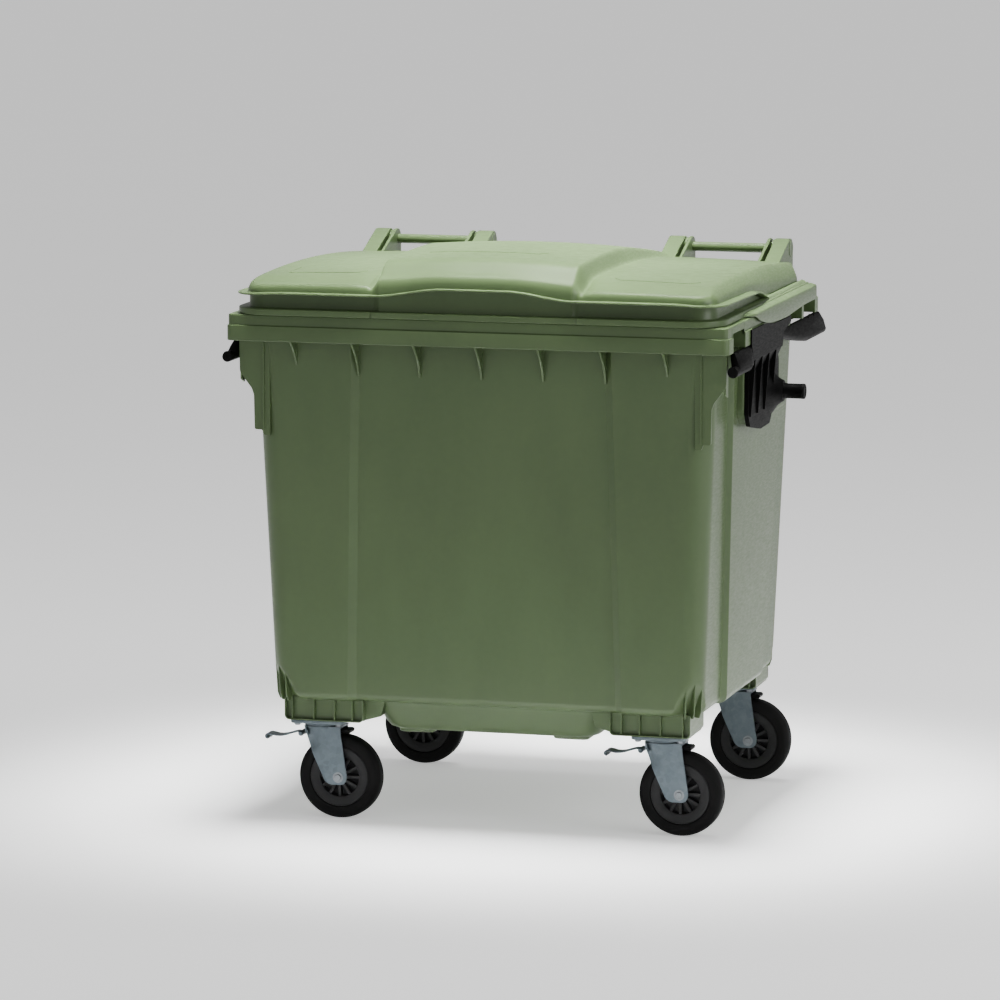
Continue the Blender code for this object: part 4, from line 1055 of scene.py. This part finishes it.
def build_side_handles():
    """Long grips under the rim's sides, hooked down at both ends."""
    stations = ((-0.497, 0.92, 0.9, 0), (-0.4955, 1.0, 1.0, 0), (-0.46, 1.0, 1.0, 0),
                (-0.45, 1.0, 1.0, 1), (-0.345, 1.0, 1.0, 1), (-0.315, 0.85, 1.0, 1),
                (-0.295, 0.3, 0.9, 1), (-0.285, 0.0, 0.7, 1), (-0.26, 0.0, 0.5, 1),
                (0.06, 0.0, 0.5, 1), (0.15, 0.45, 0.7, 1), (0.22, 0.72, 0.9, 1),
                (0.3, 1.0, 1.0, 1), (0.4955, 1.0, 1.0, 1), (0.497, 0.92, 0.9, 1))
    for side, tag in SIDES:
        bm = bmesh.new()
        rings = []
        for y, drop, full, web in stations:
            radius = mix(0.009, HANDLE_RADIUS, full)
            x, z = mix(0.615, HANDLE_X, drop), mix(1.179, HANDLE_Z, drop)
            bar = [(x - radius * 0.35, z + radius * 0.94), (x - radius * 0.86, z + radius * 0.5)]
            bar += arc((x, z), radius, 190, 360, 18)
            bar += [(x + radius * 0.9, z + radius * 0.42), (x + radius * 0.55, z + radius * 0.83),
                    (x, z + radius)]
            tall = [(0.6125, 1.188), (0.6123, 1.178)] + bar[2:-3]
            tall += [(mix(x + radius, 0.6235, 0.35), mix(z, 1.185, 0.55)), (0.6226, 1.1872),
                     (0.621, 1.1884)]
            rings.append([(side * u, y, v) for u, v in (tall if web else bar)])
        loft_into(bm, rings)
        for y in (-0.418, 0.365, 0.43, 0.48):
            brace = [(0.61, 1.1885), (0.611, 1.16), (0.62, 1.138), (0.625, 1.188)]
            prism_into(bm, sided(side, brace), "Y", y - 0.002, y + 0.002)
        piece(bm, "side_grip_" + tag, BLACK, "container", 40, bevel=0.001,
              replaced=("side_handle_" + tag,))


build_bars()
build_brackets()
build_side_handles()


# ---- drain ----------------------------------------------------------------------------
def build_drain():
    """Quarter-turn drain plug with a wing grip."""
    top = SUMP_BOTTOM - 0.003
    place = Matrix.Translation((0, DRAIN_Y, 0))
    radius = DRAIN_RADIUS - 0.0006
    bm = bmesh.new()
    profile = [(0, 0.244), (radius - 0.0015, 0.244), (radius, 0.2425), (radius, 0.234),
               (radius - 0.0012, 0.233), (radius, 0.232), (radius, top), (0.0375, top),
               (0.0386, top - 0.0006), (0.039, top - 0.0018), (0.0375, top - 0.0046),
               (0.0362, top - 0.005), (0.03, top - 0.005), (0.029, top - 0.004),
               (0, top - 0.004)]
    turned_into(bm, profile, 64, place)
    grip = fillet([(-0.026, -0.0035, 0.0034), (0.026, -0.0035, 0.0034),
                   (0.026, 0.0035, 0.0034), (-0.026, 0.0035, 0.0034)], 6)
    rings = [[(x * s, DRAIN_Y + y * s, z) for x, y in grip]
             for z, s in ((top - 0.003, 1.0), (top - 0.015, 0.94), (top - 0.016, 0.88))]
    loft_into(bm, rings)
    piece(bm, "drain_closure", BLACK, "drain_plug", replaced=("drain_plug",))


build_drain()


# ---- casters --------------------------------------------------------------------------
PLATE_TOP = BLOCK_BOTTOM - 0.0003
PLATE_BOTTOM = PLATE_TOP - 0.008
RACE_TOP, RACE_BOTTOM = PLATE_BOTTOM - 0.0003, PLATE_BOTTOM - 0.0088
CROWN_TOP = RACE_BOTTOM - 0.0003
CROWN_BOTTOM = CROWN_TOP - 0.004
LEG_IN, LEG_OUT = 0.03, 0.034
BEND_LINE = ((0.23, 0.0228), (0.219, 0.0222), (0.146, 0.0157), (0.101, 0.013), (0.08, 0.012))
LEAN_LINE = ((0.23, 0.015), (0.2, 0.014), (0.185, 0.011), (0.166, 0.004),
             (0.1, 0.0028), (0.08, 0.0006))


def axle_frame(place, side=1):
    """Frame at a wheel's centre, with Z along its axle towards one side."""
    turn = Matrix.Rotation(-side * math.pi / 2, 4, "X")
    return place @ Matrix.Translation((CASTER_TRAIL, 0, WHEEL_RADIUS)) @ turn


def build_plate(place, tag):
    """Caster plate with rounded corners and its four bolts."""
    bm = bmesh.new()
    rings = []
    for z, inset in ((PLATE_BOTTOM, 0.0012), (PLATE_BOTTOM + 0.0008, 0.0002),
                     (PLATE_BOTTOM + 0.003, 0.0), (PLATE_TOP - 0.0008, 0.0002),
                     (PLATE_TOP, 0.001)):
        ring = rounded_rectangle(0.0675 - inset, -0.055 + inset, 0.055 - inset, 0.01, z)
        rings.append(placed(place, ring))
    loft_into(bm, rings)
    piece(bm, "top_plate_" + tag, ZINC, "container", replaced=("caster_plate_" + tag,))
    bm = bmesh.new()
    for x in (-0.0525, 0.0525):
        for y in (-0.04, 0.04):
            spot = place @ Matrix.Translation((x, y, 0))
            turned_into(bm, [(0, PLATE_BOTTOM), (0.0105, PLATE_BOTTOM),
                             (0.0105, PLATE_BOTTOM - 0.0012), (0.009, PLATE_BOTTOM - 0.0016),
                             (0, PLATE_BOTTOM - 0.0016)], 24, spot)
            head = [(0.0078 * math.cos(math.radians(60 * i + 12)),
                     0.0078 * math.sin(math.radians(60 * i + 12))) for i in range(6)]
            rings = [[spot @ Vector((u * s, v * s, z)) for u, v in head]
                     for z, s in ((PLATE_BOTTOM - 0.0012, 1.0), (PLATE_BOTTOM - 0.0056, 1.0),
                                  (PLATE_BOTTOM - 0.0062, 0.9))]
            loft_into(bm, rings)
    piece(bm, "plate_bolts_" + tag, STEEL, "container")


def build_race(place, tag):
    """Cup of the swivel bearing, under the caster plate."""
    bm = bmesh.new()
    profile = [(0.0103, RACE_TOP), (0.043, RACE_TOP), (0.0446, RACE_TOP - 0.0003),
               (0.0458, RACE_TOP - 0.0012), (0.046, RACE_TOP - 0.0026),
               (0.046, RACE_BOTTOM + 0.0038), (0.0452, RACE_BOTTOM + 0.0026),
               (0.0436, RACE_BOTTOM + 0.0022), (0.0424, RACE_BOTTOM + 0.001),
               (0.041, RACE_BOTTOM), (0.0103, RACE_BOTTOM)]
    turned_into(bm, profile, 64, place)
    piece(bm, "ball_race_" + tag, ZINC, "container", replaced=("swivel_race_" + tag,))


def line_value(line, z):
    """Value at height z on a line of (height, value) that runs downwards."""
    for (z0, v0), (z1, v1) in zip(line, line[1:]):
        if z1 <= z <= z0:
            return mix(v0, v1, (z0 - z) / (z0 - z1))
    return line[-1][1]


LEG_FRONT = ((0.23, -0.042), (0.215, -0.04), (0.205, -0.035), (0.15, -0.012),
             (0.107, 0.008), (0.1, 0.011), (0.093, 0.016), (0.088, 0.023),
             (0.0858, 0.031))
LEG_BACK = ((0.23, 0.054), (0.208, 0.056), (0.107, 0.0713), (0.1, 0.0705),
            (0.093, 0.0675), (0.088, 0.063), (0.0858, 0.056))


def build_fork(place, tag):
    """Pressed fork: round crown, two legs creased along a bend, folded nose."""
    bm = bmesh.new()
    crown = arc((0, 0), 0.042, 55, 305, 40) + [(0.056, -LEG_OUT), (0.056, LEG_OUT)]
    rings = [placed(place, [(x, y, z) for x, y in crown]) for z in (CROWN_BOTTOM, CROWN_TOP)]
    loft_into(bm, rings)
    heights = (CROWN_TOP - 0.0004, 0.22, 0.215, 0.21, 0.205, 0.195, 0.185, 0.175,
               0.165, 0.15, 0.13, 0.107, 0.1, 0.093, 0.088, 0.0858)
    for side in (-1, 1):
        rings = []
        for z in heights:
            front, back = max(line_value(LEG_FRONT, z), -0.0405), line_value(LEG_BACK, z)
            bend = max(front + 0.001, line_value(BEND_LINE, z))
            lean = line_value(LEAN_LINE, z)
            curve = [(mix(front, bend, i / 6), lean * (1.0 - i / 6) ** 1.6) for i in range(7)]
            outer = [(x, LEG_OUT - into) for x, into in curve] + [(back, LEG_OUT)]
            inner = [(back, LEG_IN)] + [(x, LEG_IN - into) for x, into in reversed(curve)]
            rings.append(placed(place, [(x, side * y, z) for x, y in outer + inner]))
        loft_into(bm, rings)
    rings = []
    for z, x in ((CROWN_TOP - 0.001, -0.0418), (0.22, -0.0398), (0.213, -0.038),
                 (0.2065, -0.035)):
        front = []
        for i in range(9):
            share = i / 8 * 2 - 1
            front.append((x + 0.005 * share * share - 0.001, share * (LEG_IN + 0.001)))
        ring = front + [(u + 0.0036, v) for u, v in reversed(front)]
        rings.append(placed(place, [(u, v, z) for u, v in ring]))
    loft_into(bm, rings)
    piece(bm, "pressed_fork_" + tag, ZINC, "swivel_" + tag, 24, bevel=0.0006,
          replaced=("fork_" + tag,))
    bm = bmesh.new()
    for side in (-1, 1):
        spot = axle_frame(place, side)
        turned_into(bm, [(0.0064, LEG_OUT - 0.0005), (0.0132, LEG_OUT - 0.0005),
                         (0.0132, LEG_OUT + 0.0002), (0.012, LEG_OUT + 0.0003),
                         (0.0064, LEG_OUT + 0.0003), (0.0064, LEG_OUT - 0.0005)], 32, spot)
    piece(bm, "axle_washers_" + tag, STEEL, "swivel_" + tag)
    bm = bmesh.new()
    turned_into(bm, [(0, -0.0378), (0.0068, -0.0378), (0.0085, -0.0366), (0.0085, -0.0344),
                     (0.006, -0.0343), (0.006, 0.0455), (0.0052, 0.0462), (0, 0.0462)],
                32, axle_frame(place))
    piece(bm, "axle_pin_" + tag, STEEL, "swivel_" + tag, replaced=("axle_bolt_" + tag,))


def build_wheel(place, tag):
    """Ribbed hub with deep pockets between its spokes, and a rounded solid tyre."""
    axle = axle_frame(place)
    bm = bmesh.new()
    rim = [(0.0735, 0.0205), (0.073, 0.022), (0.0715, 0.0225), (0.06, 0.0205),
           (0.0512, 0.019), (0.05, 0.0182), (0.0494, 0.0165), (0.049, 0.004)]
    turned_into(bm, mirrored(rim), 72, axle)
    turned_into(bm, [(0.048, 0.002), (0.0495, 0.003), (0.05, 0.0), (0.0495, -0.003),
                     (0.048, -0.002), (0.02, -0.002), (0.02, 0.002), (0.048, 0.002)],
                72, axle)
    boss = [(0.0098, 0.028), (0.018, 0.028), (0.019, 0.027), (0.0205, 0.014)]
    turned_into(bm, mirrored(boss), 48, axle)
    for i in range(SPOKES):
        turn = axle @ Matrix.Rotation(math.tau * i / SPOKES, 4, "Z")
        outline = [(0.019, 0.0225), (0.05, 0.0165), (0.05, -0.0165), (0.019, -0.0225)]
        loft_into(bm, [[turn @ Vector((r, half, h)) for r, h in outline]
                       for half in (-0.0035, 0.0035)])
    piece(bm, "wheel_hub_" + tag, HUB, "wheel_" + tag, 30, bevel=0.0006,
          replaced=("wheel_core_" + tag,))
    bm = bmesh.new()
    half = [(0.0738, 0.0225), (0.0744, 0.0238), (0.0768, 0.0249), (0.08, 0.025),
            (0.09, 0.0246), (0.0945, 0.024), (0.0985, 0.0222), (0.1015, 0.019),
            (0.1033, 0.0145), (0.1039, 0.009), (WHEEL_RADIUS, 0.003)]
    turned_into(bm, mirrored(half), 96, axle)
    piece(bm, "solid_tyre_" + tag, RUBBER, "wheel_" + tag, 50, replaced=("tyre_" + tag,))


def build_pedal(place, tag):
    """Curved foot lever with a rolled tip, on a pivot tube with two collars."""
    middle = [(-0.048, 0.2053), (-0.056, 0.2092), (-0.064, 0.2092), (-0.076, 0.2058),
              (-0.09, 0.201), (-0.103, 0.1986), (-0.115, 0.1985), (-0.126, 0.2008),
              (-0.133, 0.202), (-0.1385, 0.201), (-0.1422, 0.1975), (-0.142, 0.193),
              (-0.1385, 0.1906), (-0.1352, 0.1912)]
    rings = []
    for i, (x, z) in enumerate(middle):
        before = Vector(middle[max(0, i - 1)])
        after = Vector(middle[min(len(middle) - 1, i + 1)])
        along = (after - before).normalized()
        normal = Vector((-along.y, along.x)) * 0.0018
        wide = mix(0.0105, 0.0185, smooth_step(1, 8, i))
        section = ((1, -wide + 0.001), (1, wide - 0.001), (0.4, wide), (-0.4, wide),
                   (-1, wide - 0.001), (-1, -wide + 0.001), (-0.4, -wide), (0.4, -wide))
        ring = [(x + normal.x * share, y, z + normal.y * share) for share, y in section]
        rings.append(placed(place, ring))
    bm = bmesh.new()
    loft_into(bm, rings)
    pivot_x, pivot_z = -0.052, 0.206
    tube_into(bm, *placed(place, [(pivot_x, y, pivot_z) for y in (-0.019, 0.019)]), 0.0052)
    for y in (-0.015, 0.015):
        start = place @ Vector((pivot_x, y - 0.0028, pivot_z))
        tube_into(bm, start, start + Vector((0, 0.0056, 0)), 0.0066)
    piece(bm, "brake_lever_" + tag, ZINC, "pedal_" + tag, 45, replaced=("brake_pedal_" + tag,))


def build_shoe(place, tag):
    """Brake block with a toothed underside."""
    outline = [(0.038, 0.2205), (0.0342, 0.2148), (0.035, 0.2136)]
    for i in range(9):
        x = mix(0.039, 0.073, i / 8)
        outline.append((x, 0.213 if i % 2 else 0.2117))
    outline += [(0.0748, 0.2128), (0.076, 0.2178), (0.0722, 0.222), (0.04, 0.222)]
    bm = bmesh.new()
    rings = [placed(place, [(x, y, z) for x, z in outline]) for y in (-0.021, 0.021)]
    loft_into(bm, rings)
    piece(bm, "brake_block_" + tag, BLACK, "shoe_" + tag, bevel=0.0006,
          replaced=("brake_shoe_" + tag,))


for end, caster_y in CASTER_Y.items():
    for side, side_tag in SIDES:
        caster_tag = end + "_" + side_tag
        caster_place = Matrix.Translation((side * CASTER_X, caster_y, 0))
        for build in (build_plate, build_race, build_fork, build_wheel, build_pedal, build_shoe):
            build(caster_place, caster_tag)

# ---- carried-over solids --------------------------------------------------------------
KEPT = {"king_pin": STEEL, "axle_nut": STEEL, "axle_sleeve": STEEL,
        "drain_seal": RUBBER}
for node_name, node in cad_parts.items():
    for start_word, kept_material in KEPT.items():
        if node_name.startswith(start_word):
            for material_slot in node.material_slots:
                material_slot.material = kept_material


# ---- floor, light and camera ----------------------------------------------------------
def build_stage():
    bm = bmesh.new()
    box_into(bm, (-90, -90, -0.05), (90, 90, 0.0))
    floor = mesh_object(bm, "floor")
    nodes = Nodes("pale_floor")
    place = nodes.place
    cloud = noise(nodes, place, 1.5, 2.0)
    base = mix_colour(nodes, cloud, (0.9, 0.9, 0.9), (0.93, 0.93, 0.93))
    nodes.shade("Base Color", base)
    nodes.shade("Roughness", 0.9)
    nodes.shade("Emission Color", (1.0, 1.0, 1.0, 1.0))
    nodes.shade("Emission Strength", 0.45)
    floor.data.materials.append(nodes.material)


def area_light(name, place, target, size, power, spread=180):
    light = bpy.data.lights.new(name, "AREA")
    light.shape = "RECTANGLE"
    light.size, light.size_y = size
    light.energy = power
    light.spread = math.radians(spread)
    lamp = show(name, light)
    lamp.location = place
    aim = Vector(target) - Vector(place)
    lamp.rotation_euler = aim.to_track_quat("-Z", "Y").to_euler()
    return lamp


def build_light():
    world = bpy.data.worlds.new("studio")
    world.use_nodes = True
    background = world.node_tree.nodes["Background"]
    background.inputs["Color"].default_value = (1.0, 1.0, 1.0, 1.0)
    background.inputs["Strength"].default_value = 0.42
    bpy.context.scene.world = world
    area_light("key_right", (6.5, -1.5, 3.2), (0, 0, 0.8), (4.0, 4.0), 230)
    area_light("top", (0.5, 0.8, 5.5), (0, 0, 1.0), (2.4, 1.2), 170)
    above = area_light("over_lid", (0.0, -0.1, 3.2), (0, -0.05, 1.3), (1.4, 1.2), 64, 40)
    above.visible_glossy = False
    area_light("front_fill", (-2.0, -8.0, 3.0), (0, 0, 0.8), (5.0, 4.0), 20)


def build_camera():
    data = bpy.data.cameras.new("camera")
    data.lens = CAMERA_LENS
    data.sensor_width = 36.0
    camera = show("camera", data)
    camera.location = CAMERA_PLACE
    camera.rotation_euler = (math.radians(90 - CAMERA_DOWN), 0.0, math.radians(CAMERA_TURN))
    bpy.context.scene.camera = camera


build_stage()
build_light()
build_camera()
